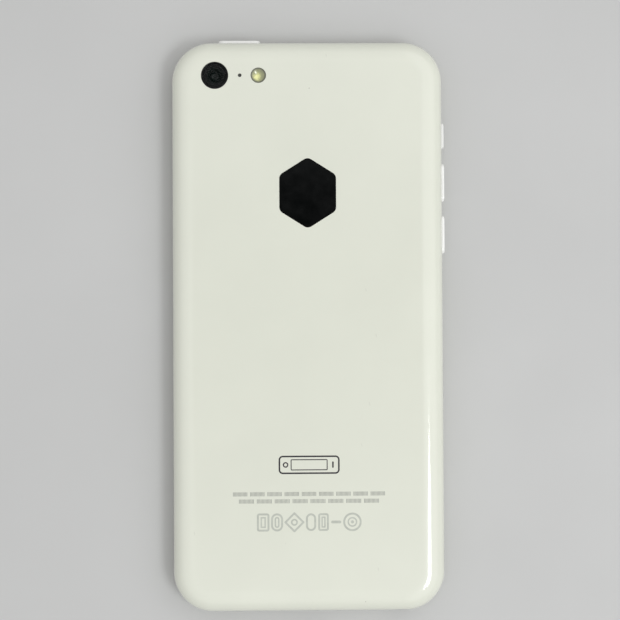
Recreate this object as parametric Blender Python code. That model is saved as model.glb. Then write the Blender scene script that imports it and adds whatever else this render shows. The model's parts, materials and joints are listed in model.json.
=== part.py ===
"""Smartphone: a glossy one-piece plastic rear shell over a steel frame, closed by a glass front panel.

Every size below is in millimetres, in the phone's own frame, and the mesh makers scale it to metres.
The phone lies on its front glass: +Z is the outward normal of its back, +Y points to its top end and
+X to the side with the volume buttons. The origin is the centre of the front glass's outer face.
"""

import math

import bmesh
import bpy
from mathutils import Vector

MM = 0.001

# ---------------------------------------------------------------- driving sizes
HALF_WIDTH = 29.6
HALF_LENGTH = 62.2
THICKNESS = 8.97
CORNER_RADIUS = 8.65
CORNER_STEPS = 6
GAP = 0.1                     # between pieces that are assembled face to face
SLOT_GAP = 0.1                # round a button in its slot
FRAME_SLOT_GAP = 0.17         # the same in the steel frame, whose slot holds the button's flange in

# Rear shell: a straight side wall, then a quarter ellipse over to the flat back.
RIM_Z = 0.6
SIDE_TOP_Z = 4.17
SHELL_WALL = 1.05
BACK_ROUND_WIDTH = 4.2
BACK_ROUND_STEPS = 5
SHELL_INSIDE_Z = THICKNESS - SHELL_WALL
SHELL_INSIDE_ROUND = 3.3

# Steel frame bonded inside the shell.
FRAME_FRONT_Z = 2.3
FRAME_WALL = 0.3
FRAME_OUT = SHELL_WALL + GAP
FRAME_IN = FRAME_OUT + FRAME_WALL
FRAME_OUT_Z = SHELL_INSIDE_Z - GAP
FRAME_IN_Z = FRAME_OUT_Z - FRAME_WALL
FRAME_OUT_ROUND = 3.2
FRAME_IN_ROUND = 3.0

# Front panel.
BEZEL_INSET = 1.12
GLASS_INSET = 1.56
GLASS_BACK_Z = 0.9
GLASS_CHAMFER = 0.15
BEZEL_LIP_Z = 0.3
BEZEL_LIP_INSET = 1.5
BEZEL_SHELF_Z = 0.96
BEZEL_SHELF_INSET = 3.0
BEZEL_BACK_Z = 2.0
PANEL_Z = 1.0                 # front face of what is laminated behind the glass

# Pieces behind the glass. A box is its limits along X, Y and Z.
LCD_PANEL_BOX = ((-26.2, 26.2), (-46.9, 46.9), (PANEL_Z, 2.5))
LCD_PLATE_BOX = ((-26.0, 26.0), (-46.5, 46.5), (2.58, 2.78))
LCD_PLATE_HOLE = (24.0, 44.5)
LCD_PLATE_HOLE_RADIUS = 0.8
FLEX_THICK = 0.12
DISPLAY_FLEX_X = (-13.6, -10.0)
DISPLAY_FLEX_LINE = ((47.1, 1.7), (48.5, 1.7), (49.3, 2.5), (49.3, 3.9), (48.5, 4.7), (40.6, 4.7))
DISPLAY_PLUG_BOX = ((-13.8, -9.8), (40.8, 43.4), (4.88, 5.4))
EARPIECE_BODY_HALF = (6.5, 2.5)
EARPIECE_BODY_Z = (PANEL_Z, 3.3)
EARPIECE_MESH_Z = (0.4, 0.8)
EARPIECE_MESH_GAP = 0.15
FRONT_CAMERA_BOX = ((-2.3, 2.3), (56.0, 59.0), (1.5, 3.2))
FRONT_CAMERA_LENS = (0.0, 57.5)
FRONT_CAMERA_LENS_RADIUS = 1.2
PROXIMITY_SENSOR_BOX = ((-9.4, -7.0), (55.2, 58.0), (PANEL_Z, 2.0))

# Side features sit on the middle of the edge.
EDGE_Z = 4.4
BUTTON_HEIGHT = 2.3
BUTTON_PROUD = 0.5
BUTTON_TRAVEL = 0.25
FLANGE_OUT = 1.92             # a button's retaining flange, measured in from the outline
FLANGE_THICK = 0.4
FLANGE_MARGIN = 0.45
SWITCH_FACE = FLANGE_OUT + FLANGE_THICK + BUTTON_TRAVEL + 0.05
SWITCH_DEPTH = 0.9
BRACKET_THICK = 0.3
BRACKET_GAP = 0.15            # from a switch's back to its bracket
CAP_CHAMFER = 0.12
PRESSED_CHAMFER = 0.15        # on the small pressed and moulded boxes behind the buttons

VOLUME_LENGTH = 8.4
VOLUME_UP_Y = 31.3
VOLUME_DOWN_Y = 19.9
RING_SWITCH_Y = 41.7
RING_SWITCH_LENGTH = 5.5
RING_SWITCH_HEIGHT = 1.9
RING_SWITCH_TRAVEL = 0.7
RING_SWITCH_Z = EDGE_Z - RING_SWITCH_TRAVEL / 2
RING_MODULE_HALF_LENGTH = 3.2
RING_MODULE_DEPTH = 0.95
RING_MODULE_Z = (3.0, 5.8)
VOLUME_SWITCH_HALF_LENGTH = 1.7
VOLUME_SWITCH_Z = (3.4, 5.4)
SIDE_BRACKET_Y = (16.5, 46.0)
SIDE_BRACKET_Z = (3.0, 5.8)
SIDE_BRACKET_HOLES_Y = (26.0, 37.0)
SIDE_BRACKET_HOLE_RADIUS = 0.6
POWER_X = -14.8
POWER_LENGTH = 9.3
POWER_SWITCH_X = -14.4
POWER_SWITCH_HALF_LENGTH = 1.3
POWER_SWITCH_Z = (3.5, 5.3)
POWER_BRACKET_X = (-15.9, -7.2)
POWER_BRACKET_Z = (3.2, 5.6)

# Back features.
CAMERA = (-20.1, 54.5)
CAMERA_RADIUS = 2.9
CAMERA_BODY_HALF = 4.0
CAMERA_BODY_Z = (3.2, 5.6)
CAMERA_TUBE_RADIUS = 3.1
CAMERA_TUBE_Z = (5.0, 7.0)
CAMERA_BORE_RADIUS = 2.45
CAMERA_BORE_Z = (4.4, 8.0)
LENS_BACK_Z = 4.6
TRIM_RING_WALL = 0.28
TRIM_FLANGE_RADIUS = 3.3
TRIM_FLANGE_Z = (7.4, 7.7)
TRIM_FRONT_Z = 8.95
WINDOW_Z = (8.25, 8.9)
REAR_MIC = (-14.65, 54.5)
REAR_MIC_RADIUS = 0.4
REAR_MIC_HALF = (1.1, 1.5)
REAR_MIC_Z = (6.3, 7.3)
REAR_MIC_SPOUT_RADIUS = 0.8
REAR_MIC_SPOUT_Z = (7.0, 7.8)
FLASH = (-10.6, 54.5)
FLASH_RADIUS = 1.6
FLASH_FLANGE_RADIUS = 2.1
FLASH_FLANGE_Z = (7.42, 7.8)
FLASH_RIM_Z = 8.88
FLASH_CROWN_Z = 8.94
LED_HALF = 1.7
LED_Z = (6.4, 7.3)

# Front features.
HOME = (0.0, -53.2)
HOME_RADIUS = 5.35
HOME_FACE_Z = 0.12
HOME_TRAVEL = 0.3
HOME_SEAL_RADIUS = 6.2
HOME_FLANGE_RADIUS = HOME_RADIUS + 0.4
HOME_FLANGE_Z = (1.05, 1.35)
HOME_STEM_RADIUS = 1.5
HOME_STEM_Z = 1.65
HOME_SWITCH_HALF = 2.2
HOME_SWITCH_BACK_Z = 2.8
HOME_BRACKET_HALF = (9.0, 3.6)
HOME_BRACKET_Z = (2.88, 3.08)
EARPIECE_Y = 53.2
EARPIECE_LENGTH = 11.0
EARPIECE_HEIGHT = 1.5

# Bottom edge, across the phone.
DOCK_WIDTH = 8.2
DOCK_HEIGHT = 2.6
DOCK_FACE_Y = -61.8
DOCK_BODY_BOX = ((-4.8, 4.8), (-60.4, -52.6), (3.15, 5.75))
SOCKET_WIDTH = 6.9
SOCKET_DEPTH = 6.9
SOCKET_LOW_Z = 3.3
SOCKET_HIGH_Z = 5.45
CONTACTS_X = (-2.2, 2.2)
CONTACTS_Y = (-60.9, -55.2)
CONTACTS_RISE = (0.05, 0.28)  # from the socket's floor
JACK_X = 20.4
JACK_NOSE_RADIUS = 2.2
JACK_BORE_RADIUS = 1.75
JACK_BODY_RADIUS = 2.45
JACK_FACE_Y = -61.6
JACK_SHOULDER_Y = -59.1
JACK_BORE_END_Y = -47.6
JACK_END_Y = -47.05
BOTTOM_MIC_X = 13.8
BOTTOM_MIC_RADIUS = 0.45
BOTTOM_MIC_HALF_WIDTH = 1.4
BOTTOM_MIC_Y = (-60.3, -59.2)
BOTTOM_MIC_Z = (3.5, 5.3)
BOTTOM_MIC_SPOUT_RADIUS = 0.55
BOTTOM_MIC_SPOUT_Y = (-60.9, -60.0)
SPEAKER_HOLES_X = (-12.4, -15.2, -18.0, -20.8)
SPEAKER_HOLE_LENGTH = 1.9
SPEAKER_HOLE_HEIGHT = 1.1
SPEAKER_BOX = ((-25.2, -9.6), (-58.4, -40.4), (3.2, 6.4))
SPEAKER_NOTCH_BOX = ((-11.8, -8.0), (-49.6, -39.0), (2.0, 8.0))
SPEAKER_MESH_BOX = ((-21.8, -11.2), (-60.8, -60.5), (3.7, 5.0))
BOTTOM_FLEX_OUTLINE = (
    (-9.3, -56.5), (16.0, -56.5), (16.0, -49.5), (-8.3, -49.5),
    (-8.3, -24.0), (-10.6, -24.0), (-10.6, -49.3), (-9.3, -49.3),
)
BOTTOM_FLEX_Z = (5.9, 5.9 + FLEX_THICK)
BOTTOM_SCREW_X = 7.4
SCREW_HEAD_RADIUS = 0.85
SCREW_SHANK_RADIUS = 0.5
SCREW_SOCKET_RADIUS = 0.4
SCREW_SOCKET_Y = -61.85
SCREW_FACE_Y = -62.05
SCREW_SEAT_Y = -61.7
SCREW_END_Y = -58.9
SCREW_HOLE_OUT_Y = -63.0
SCREW_HOLE_SEAT_Y = -61.65
SCREW_HOLE_END_Y = -60.0

# Openings in the steel frame's wall and base.
FRAME_SIDE_X = (-29.0, -26.6)
FRAME_BOTTOM_Y = (-62.0, SCREW_END_Y)
FRAME_TRAY_MARGIN = 0.6
FRAME_TRAY_Z = (2.7, 6.4)
FRAME_DOCK_X = (-5.2, 5.2)
FRAME_DOCK_Z = (2.7, 6.1)
FRAME_SPEAKER_X = (-22.4, -10.8)
FRAME_SPEAKER_Z = (3.4, 5.4)
FRAME_JACK_MARGIN = 0.5
FRAME_MIC_RADIUS = 0.8
FRAME_SCREW_RADIUS = 0.7
FRAME_CAMERA_RADIUS = 3.9
FRAME_FLASH_X = -11.9
FRAME_FLASH_LENGTH = 8.0
FRAME_FLASH_HEIGHT = 5.2

# SIM tray on the side across from the volume buttons.
TRAY_FACE_Y = (-3.6, 11.6)
TRAY_FACE_HEIGHT = 2.5
TRAY_BODY_Y = (-1.9, 11.0)
TRAY_BODY_Z = (3.95, 4.85)
TRAY_INNER_X = -17.9
SIM_LENGTH = 12.3
SIM_WIDTH = 8.8
SIM_THICK = 0.67
SIM_LOW_X = -27.9
SIM_GAP = 0.08                # round the card in its pocket
SIM_LEDGE = 1.2               # of the pocket, under the card's edge
SIM_CORNER = 1.65
POCKET_Z = TRAY_BODY_Z[0] + 0.12
TRAY_FACE_X = (-HALF_WIDTH + 0.02, -28.65)
TRAY_NOTCH_Y = (4.4, 7.2)
TRAY_NOTCH_DEPTH = 0.35
READER_X = (-27.4, -18.6)
READER_Z = (3.3, 5.4)
READER_WALL = 0.26
READER_SLOT_GAP = 0.16
READER_SLOT_Z = (3.6, 5.1)
PIVOT_TAB_HALF = 0.9
PIVOT_TAB_Z = (5.15, 5.38)
LEVER_PIN_Z = (3.9, 5.25)
EJECT_Y = -2.75
EJECT_HOLE_RADIUS = 0.45
EJECT_ROD_RADIUS = 0.35
EJECT_ROD_OUTER_X = -28.35
EJECT_ROD_GAP = 0.06          # from the rod's inner end to the lever
LEVER_PIVOT = (-16.3, 1.5)
LEVER_THICK = 0.5
LEVER_Z = (4.05, 4.75)
LEVER_PIN_RADIUS = 0.4
LEVER_EYE_RADIUS = 0.5
LEVER_ARM = 4.9
LEVER_BOSS_RADIUS = 0.95

# Logic board and battery.
BOARD_X = (-26.8, -9.0)
BOARD_Y = (-28.0, 50.0)
BOARD_Z = (5.5, 6.2)
SHIELD_Z = 3.2
SHIELD_WALL = 0.2
BOARD_CAMERA_NOTCH = ((-30.0, -24.6), (44.5, 52.0), (5.0, 7.0))
BOARD_BATTERY_NOTCH = ((-12.2, -8.0), (-29.0, -20.0), (5.0, 7.0))
BOARD_HOLES = ((-25.0, 41.0), (-14.0, -25.5))
BOARD_HOLE_RADIUS = 0.7
PROCESSOR_SHIELD_X = (-26.0, -14.6)
PROCESSOR_SHIELD_Y = (14.0, 39.5)
PROCESSOR_BOX = ((-24.5, -16.5), (22.0, 35.0), (4.3, 5.4))
RADIO_SHIELD_X = (-26.0, -13.0)
RADIO_SHIELD_Y = (-27.0, -6.0)
RADIO_CHIP_BOX = ((-24.0, -16.0), (-22.0, -12.0), (4.4, 5.4))
CONNECTOR_COVER = (-11.9, 43.6)
CONNECTOR_COVER_HALF = 3.6
CONNECTOR_COVER_Z = (4.2, 4.4)
BATTERY_X = (-8.0, 24.6)
BATTERY_Y = (-37.5, 53.4)
BATTERY_Z = (3.6, 7.2)
ADHESIVE_CENTRE = (8.3, 8.0)
ADHESIVE_HALF = (13.0, 42.0)
ADHESIVE_Z = (7.28, 7.42)
BATTERY_PLUG_BOX = ((-13.0, -8.2), (-4.0, 2.0), (4.9, 5.4))

# Vibration motor, its axis along X.
MOTOR_X = (8.4, 15.6)
MOTOR_Y = 56.8
MOTOR_Z = 4.95
MOTOR_RADIUS = 1.8
WEIGHT_X = (16.2, 19.6)
WEIGHT_HUB_RADIUS = 0.75
WEIGHT_BORE_RADIUS = 0.36
SHAFT_RADIUS = 0.3
SHAFT_BORE_RADIUS = 0.38
SHAFT_BORE_DEPTH = 3.0
SHAFT_INSERTED = 2.8
SHAFT_OVERHANG = 0.3

# Cutting solids start and end this far outside what they open.
CLEAR = 1.0


# ---------------------------------------------------------------- shape makers (millimetres in)
def rounded_outline(half_x, half_y, radius, steps=CORNER_STEPS, centre=(0.0, 0.0)):
    """A rectangle with round corners, as points that run anticlockwise."""
    points = []
    for corner, (sign_x, sign_y) in enumerate(((1, 1), (-1, 1), (-1, -1), (1, -1))):
        for step in range(steps + 1):
            angle = math.radians(90 * (corner + step / steps))
            points.append((
                centre[0] + sign_x * (half_x - radius) + radius * math.cos(angle),
                centre[1] + sign_y * (half_y - radius) + radius * math.sin(angle),
            ))
    return points


def pill_outline(length, height, centre, steps=4):
    """A stadium, its long side along the outline's first axis. Each round end has one point per step."""
    radius = height / 2
    points = []
    for end, side in ((0, 1), (1, -1)):
        for step in range(2 * steps + 1):
            angle = math.radians(-90 + 180 * end + 90 * step / steps)
            points.append((
                centre[0] + side * (length / 2 - radius) + radius * math.cos(angle),
                centre[1] + radius * math.sin(angle),
            ))
    return points


def rectangle(x_range, y_range):
    """Four corners, anticlockwise."""
    (x0, x1), (y0, y1) = x_range, y_range
    return [(x0, y0), (x1, y0), (x1, y1), (x0, y1)]


def facing_point(u, v, depth, facing):
    """An outline's (u, v) at a depth, where facing is the axis that the depth runs along."""
    if facing == "X":
        return Vector((depth, u, v))
    if facing == "Y":
        return Vector((u, depth, v))
    return Vector((u, v, depth))


def loft(rings, facing="Z"):
    """A closed solid through (outline, depth) rings with the same number of points, capped at both ends."""
    shape = bmesh.new()
    loops = [
        [shape.verts.new(facing_point(u, v, depth, facing)) for u, v in outline]
        for outline, depth in rings
    ]
    shape.faces.new(loops[0])
    shape.faces.new(loops[-1])
    for lower, upper in zip(loops, loops[1:]):
        count = len(lower)
        for i in range(count):
            j = (i + 1) % count
            shape.faces.new((lower[i], lower[j], upper[j], upper[i]))
    bmesh.ops.recalc_face_normals(shape, faces=shape.faces)
    return shape


def prism(outline, low, high, facing="Z"):
    """An outline extruded from one depth to another."""
    return loft([(outline, low), (outline, high)], facing)


def block(x_range, y_range, z_range):
    """A plain box between limits along the three axes."""
    return prism(rectangle(x_range, y_range), *z_range)


def turned(profile, sides, centre, facing="Z"):
    """A profile of (radius, depth) points turned about an axis through centre.

    A profile that begins and ends on the axis is a solid of revolution. Any other is closed into a ring.
    """
    shape = bmesh.new()
    loops = []
    for radius, depth in profile:
        if radius == 0:
            loops.append([shape.verts.new(facing_point(*centre, depth, facing))])
            continue
        loop = []
        for side in range(sides):
            angle = 2 * math.pi * (side + 0.5) / sides
            u = centre[0] + radius * math.cos(angle)
            v = centre[1] + radius * math.sin(angle)
            loop.append(shape.verts.new(facing_point(u, v, depth, facing)))
        loops.append(loop)
    pairs = list(zip(loops, loops[1:]))
    if len(loops[0]) > 1:
        pairs.append((loops[-1], loops[0]))
    for lower, upper in pairs:
        for i in range(sides):
            j = (i + 1) % sides
            if len(lower) == 1:
                shape.faces.new((lower[0], upper[j], upper[i]))
            elif len(upper) == 1:
                shape.faces.new((lower[i], lower[j], upper[0]))
            else:
                shape.faces.new((lower[i], lower[j], upper[j], upper[i]))
    bmesh.ops.recalc_face_normals(shape, faces=shape.faces)
    return shape


def rod(radius, low, high, centre, facing="Z", sides=16):
    """A round bar."""
    outline = [
        (centre[0] + radius * math.cos(a), centre[1] + radius * math.sin(a))
        for a in (2 * math.pi * (k + 0.5) / sides for k in range(sides))
    ]
    return prism(outline, low, high, facing)


def inset_outline(inset):
    """The phone's outline moved inwards."""
    return rounded_outline(HALF_WIDTH - inset, HALF_LENGTH - inset, CORNER_RADIUS - inset)


def tray_rings(side_inset, front_z, back_z, round_width):
    """Rings of a surface that runs up the phone's side and over its rounded edge to a flat back."""
    rings = [(inset_outline(side_inset), front_z), (inset_outline(side_inset), SIDE_TOP_Z)]
    for step in range(1, BACK_ROUND_STEPS + 1):
        angle = math.radians(90 * step / BACK_ROUND_STEPS)
        inset = side_inset + round_width * (1 - math.cos(angle))
        rings.append((inset_outline(inset), SIDE_TOP_Z + (back_z - SIDE_TOP_Z) * math.sin(angle)))
    return rings


# ---------------------------------------------------------------- objects and materials
def material(name, colour, roughness, metallic=0.0):
    """A Principled material of one colour."""
    made = bpy.data.materials.new(name)
    made.use_nodes = True
    shader = made.node_tree.nodes["Principled BSDF"]
    shader.inputs["Base Color"].default_value = (*colour, 1.0)
    shader.inputs["Roughness"].default_value = roughness
    shader.inputs["Metallic"].default_value = metallic
    return made


def mesh_of(name, shapes, origin):
    """One mesh from several shapes that don't touch each other, in metres from the origin."""
    joined = bmesh.new()
    for shape in shapes:
        part = bpy.data.meshes.new(name)
        shape.to_mesh(part)
        shape.free()
        joined.from_mesh(part)
        bpy.data.meshes.remove(part)
    for vertex in joined.verts:
        vertex.co = (vertex.co - Vector(origin)) * MM
    mesh = bpy.data.meshes.new(name)
    joined.to_mesh(mesh)
    joined.free()
    return mesh


def add(name, shapes, finish, parent, origin=(0.0, 0.0, 0.0)):
    """A named sub-part. Its shapes are given in the phone's frame, and origin is where its own axes sit."""
    mesh = mesh_of(name, shapes, origin)
    mesh.materials.append(finish)
    part = bpy.data.objects.new(name, mesh)
    bpy.context.scene.collection.objects.link(part)
    part.location = Vector(origin) * MM
    part.parent = parent
    return part


def boolean(part, shapes, operation):
    """Cuts shapes out of a part, or joins them to it, with a Boolean whose tool isn't rendered."""
    tool_name = f"{part.name}_{operation.lower()}_tool"
    tool = add(tool_name, shapes, part.data.materials[0], part.parent, part.location / MM)
    tool.hide_render = True
    tool.display_type = "WIRE"
    modifier = part.modifiers.new(operation.title(), "BOOLEAN")
    modifier.operation = operation
    modifier.solver = "EXACT"
    modifier.object = tool


def cut(part, *shapes):
    boolean(part, shapes, "DIFFERENCE")


def fuse(part, *shapes):
    boolean(part, shapes, "UNION")


def smooth(part):
    """Shades a round part smooth, with its sharp edges kept."""
    part.data.shade_smooth()
    part.data.set_sharp_from_angle(angle=math.radians(30))


def bevel(part, width, segments=1):
    """Breaks a part's sharp edges."""
    modifier = part.modifiers.new("Bevel", "BEVEL")
    modifier.width = width * MM
    modifier.segments = segments
    modifier.limit_method = "ANGLE"


def group(name, parent=None):
    """An empty that holds one assembly."""
    empty = bpy.data.objects.new(name, None)
    bpy.context.scene.collection.objects.link(empty)
    empty.parent = parent
    return empty


# ---------------------------------------------------------------- the front panel
def make_front_panel(parent, finish):
    """Cover glass with its bezel, the display, and what is fixed behind the glass."""
    front_outline = inset_outline(GLASS_INSET + GLASS_CHAMFER)
    edge_outline = inset_outline(GLASS_INSET)
    glass_shape = loft([(front_outline, 0.0), (edge_outline, GLASS_CHAMFER), (edge_outline, GLASS_BACK_Z)])
    glass = add("cover_glass", [glass_shape], finish["front_glass"], parent)
    through = (-CLEAR, GLASS_BACK_Z + CLEAR)
    cut(glass,
        rod(HOME_RADIUS + 0.15, *through, HOME, sides=32),
        prism(pill_outline(EARPIECE_LENGTH, EARPIECE_HEIGHT, (0.0, EARPIECE_Y)), *through))

    bezel_shape = prism(inset_outline(BEZEL_INSET), BEZEL_LIP_Z, BEZEL_BACK_Z)
    bezel = add("display_bezel", [bezel_shape], finish["black_plastic"], parent)
    cut(bezel, loft([(inset_outline(BEZEL_LIP_INSET), BEZEL_LIP_Z - CLEAR),
                     (inset_outline(BEZEL_LIP_INSET), BEZEL_SHELF_Z),
                     (inset_outline(BEZEL_SHELF_INSET), BEZEL_SHELF_Z),
                     (inset_outline(BEZEL_SHELF_INSET), BEZEL_BACK_Z + CLEAR)]))
    cut(bezel, rod(HOME_SEAL_RADIUS + 0.15, BEZEL_SHELF_Z - 0.1, BEZEL_BACK_Z + CLEAR, HOME, sides=24))

    make_display(parent, finish)

    earpiece_outline = rounded_outline(*EARPIECE_BODY_HALF, 0.8, 2, (0.0, EARPIECE_Y))
    earpiece = add("earpiece_speaker", [prism(earpiece_outline, *EARPIECE_BODY_Z)],
                   finish["black_plastic"], parent)
    smooth(earpiece)
    mesh_outline = pill_outline(EARPIECE_LENGTH - 2 * EARPIECE_MESH_GAP,
                                EARPIECE_HEIGHT - 2 * EARPIECE_MESH_GAP, (0.0, EARPIECE_Y))
    mesh = add("earpiece_mesh", [prism(mesh_outline, *EARPIECE_MESH_Z)], finish["mesh"], parent)
    smooth(mesh)

    camera = add("front_camera", [block(*FRONT_CAMERA_BOX)], finish["black_plastic"], parent)
    fuse(camera, rod(FRONT_CAMERA_LENS_RADIUS, PANEL_Z, FRONT_CAMERA_BOX[2][0] + 0.1, FRONT_CAMERA_LENS))
    add("proximity_sensor", [block(*PROXIMITY_SENSOR_BOX)], finish["sensor"], parent)

    make_home_button(parent, finish)


def make_display(parent, finish):
    """The display panel, the plate over its back, and the flex that folds back to the logic board."""
    panel = add("lcd_panel", [block(*LCD_PANEL_BOX)], finish["display"], parent)
    bevel(panel, 0.2)
    plate = add("lcd_shield_plate", [block(*LCD_PLATE_BOX)], finish["steel"], parent)
    hole_x, hole_y = LCD_PLATE_HOLE
    cut(plate, *[
        rod(LCD_PLATE_HOLE_RADIUS, 2.0, 3.0, (side * hole_x, end * hole_y), sides=8)
        for end in (1, -1) for side in (-1, 1)
    ])
    flex = ribbon(DISPLAY_FLEX_LINE, FLEX_THICK, DISPLAY_FLEX_X)
    add("display_flex", [flex], finish["flex"], parent)
    add("display_flex_plug", [block(*DISPLAY_PLUG_BOX)], finish["black_plastic"], parent)


def ribbon(line, thickness, x_range):
    """A flat strip that follows a (y, z) line, wide along X."""
    half = thickness / 2
    one_side, other_side = [], []
    for i, point in enumerate(line):
        before = Vector(line[max(i - 1, 0)])
        after = Vector(line[min(i + 1, len(line) - 1)])
        along = (after - before).normalized()
        across = Vector((-along.y, along.x)) * half
        one_side.append(tuple(Vector(point) + across))
        other_side.append(tuple(Vector(point) - across))
    return prism(one_side + other_side[::-1], *x_range, facing="X")


def make_home_button(parent, finish):
    """A round cap in the glass, its seal, the switch it presses and the bracket behind them."""
    dish_radius, dish_depth = 2.6, 0.12
    profile = [
        (0, HOME_FACE_Z + 1.5 * dish_depth),
        (dish_radius, HOME_FACE_Z + dish_depth),
        (HOME_RADIUS - 0.3, HOME_FACE_Z),
        (HOME_RADIUS, HOME_FACE_Z + 0.12),
        (HOME_RADIUS, HOME_FLANGE_Z[0]),
        (HOME_FLANGE_RADIUS, HOME_FLANGE_Z[0]),
        (HOME_FLANGE_RADIUS, HOME_FLANGE_Z[1]),
        (HOME_STEM_RADIUS, HOME_FLANGE_Z[1]),
        (HOME_STEM_RADIUS, HOME_STEM_Z),
        (0, HOME_STEM_Z),
    ]
    cap = add("home_button", [turned(profile, 24, HOME)], finish["black_plastic"], parent, (*HOME, 0.0))
    smooth(cap)
    seal_in, seal_back_z = HOME_FLANGE_RADIUS + 0.12, 1.5
    seal_profile = [(seal_in, PANEL_Z), (HOME_SEAL_RADIUS, PANEL_Z),
                    (HOME_SEAL_RADIUS, seal_back_z), (seal_in, seal_back_z)]
    seal = add("home_button_seal", [turned(seal_profile, 24, HOME)], finish["rubber"], parent)
    smooth(seal)
    switch_shape = block((-HOME_SWITCH_HALF, HOME_SWITCH_HALF),
                         (HOME[1] - HOME_SWITCH_HALF, HOME[1] + HOME_SWITCH_HALF),
                         (HOME_STEM_Z + HOME_TRAVEL + 0.05, HOME_SWITCH_BACK_Z))
    add("home_button_switch", [switch_shape], finish["steel"], parent)
    bracket_outline = rounded_outline(*HOME_BRACKET_HALF, 1.0, 2, HOME)
    add("home_button_bracket", [prism(bracket_outline, *HOME_BRACKET_Z)], finish["steel"], parent)


# ---------------------------------------------------------------- the rear case
def button_slots(margin, reach):
    """Solids that open the wall for the buttons and the ring switch. Reach is how far in they go."""
    side = (HALF_WIDTH - reach, HALF_WIDTH + CLEAR)
    top = (HALF_LENGTH - reach, HALF_LENGTH + CLEAR)
    height = BUTTON_HEIGHT + 2 * margin
    slots = [
        prism(pill_outline(VOLUME_LENGTH + 2 * margin, height, (y, EDGE_Z)), *side, facing="X")
        for y in (VOLUME_UP_Y, VOLUME_DOWN_Y)
    ]
    ring_outline = rounded_outline(RING_SWITCH_LENGTH / 2 + margin,
                                   (RING_SWITCH_HEIGHT + RING_SWITCH_TRAVEL) / 2 + margin,
                                   RING_SWITCH_HEIGHT / 2 + margin, 4, (RING_SWITCH_Y, EDGE_Z))
    slots.append(prism(ring_outline, *side, facing="X"))
    power_outline = pill_outline(POWER_LENGTH + 2 * margin, height, (POWER_X, EDGE_Z))
    slots.append(prism(power_outline, *top, facing="Y"))
    return slots


def socket_openings(margin, reach):
    """Solids that open the wall for the tray and for what is in the bottom edge."""
    other_side = (-HALF_WIDTH - CLEAR, -HALF_WIDTH + reach)
    bottom = (-HALF_LENGTH - CLEAR, -HALF_LENGTH + reach)
    tray_outline = pill_outline(TRAY_FACE_Y[1] - TRAY_FACE_Y[0] + 2 * margin, TRAY_FACE_HEIGHT + 2 * margin,
                                (sum(TRAY_FACE_Y) / 2, EDGE_Z))
    dock_outline = pill_outline(DOCK_WIDTH + 2 * margin, DOCK_HEIGHT + 2 * margin, (0.0, EDGE_Z))
    openings = [
        prism(tray_outline, *other_side, facing="X"),
        prism(dock_outline, *bottom, facing="Y"),
        rod(JACK_NOSE_RADIUS + margin, *bottom, (JACK_X, EDGE_Z), "Y", 20),
        rod(BOTTOM_MIC_RADIUS, *bottom, (BOTTOM_MIC_X, EDGE_Z), "Y", 10),
    ]
    openings += [
        prism(pill_outline(SPEAKER_HOLE_LENGTH, SPEAKER_HOLE_HEIGHT, (x, EDGE_Z), 3), *bottom, facing="Y")
        for x in SPEAKER_HOLES_X
    ]
    return openings


def screw_hole(x):
    """A counterbored hole for a bottom screw."""
    head = SCREW_HEAD_RADIUS + 0.1
    shank = SCREW_SHANK_RADIUS + 0.15
    profile = [(0, SCREW_HOLE_OUT_Y), (head, SCREW_HOLE_OUT_Y), (head, SCREW_HOLE_SEAT_Y),
               (shank, SCREW_HOLE_SEAT_Y), (shank, SCREW_HOLE_END_Y), (0, SCREW_HOLE_END_Y)]
    return turned(profile, 14, (x, EDGE_Z), "Y")


def make_rear_case(parent, finish):
    """The plastic shell, the steel frame inside it and the two screws in the bottom edge."""
    outside = tray_rings(0.0, 1.0, THICKNESS, BACK_ROUND_WIDTH)
    inside = tray_rings(SHELL_WALL, RIM_Z, SHELL_INSIDE_Z, SHELL_INSIDE_ROUND)
    rim = [(inset_outline(0.35), RIM_Z), (inset_outline(0.1), RIM_Z + 0.12)]
    shell = add("rear_shell", [loft(inside[::-1] + rim + outside)], finish["shell"], parent)
    smooth(shell)
    back_reach = (SHELL_INSIDE_Z - CLEAR, THICKNESS + CLEAR)
    wall_reach = SHELL_WALL + CLEAR
    cut(shell, *button_slots(SLOT_GAP, wall_reach), *socket_openings(SLOT_GAP, wall_reach),
        rod(CAMERA_RADIUS + 0.05, *back_reach, CAMERA, sides=32),
        rod(FLASH_RADIUS + 0.06, *back_reach, FLASH, sides=20),
        rod(REAR_MIC_RADIUS, *back_reach, REAR_MIC, sides=10),
        screw_hole(BOTTOM_SCREW_X), screw_hole(-BOTTOM_SCREW_X))
    make_frame(parent, finish)
    for name, x in (("bottom_screw_right", BOTTOM_SCREW_X), ("bottom_screw_left", -BOTTOM_SCREW_X)):
        profile = [
            (0, SCREW_SOCKET_Y), (SCREW_SOCKET_RADIUS, SCREW_SOCKET_Y),
            (SCREW_SOCKET_RADIUS, SCREW_FACE_Y), (SCREW_HEAD_RADIUS, SCREW_FACE_Y),
            (SCREW_HEAD_RADIUS, SCREW_SEAT_Y), (SCREW_SHANK_RADIUS, SCREW_SEAT_Y),
            (SCREW_SHANK_RADIUS, SCREW_END_Y), (0, SCREW_END_Y),
        ]
        origin = (x, SCREW_SEAT_Y, EDGE_Z)
        screw = add(name, [turned(profile, 10, (x, EDGE_Z), "Y")], finish["screw"], parent, origin)
        smooth(screw)


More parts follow.
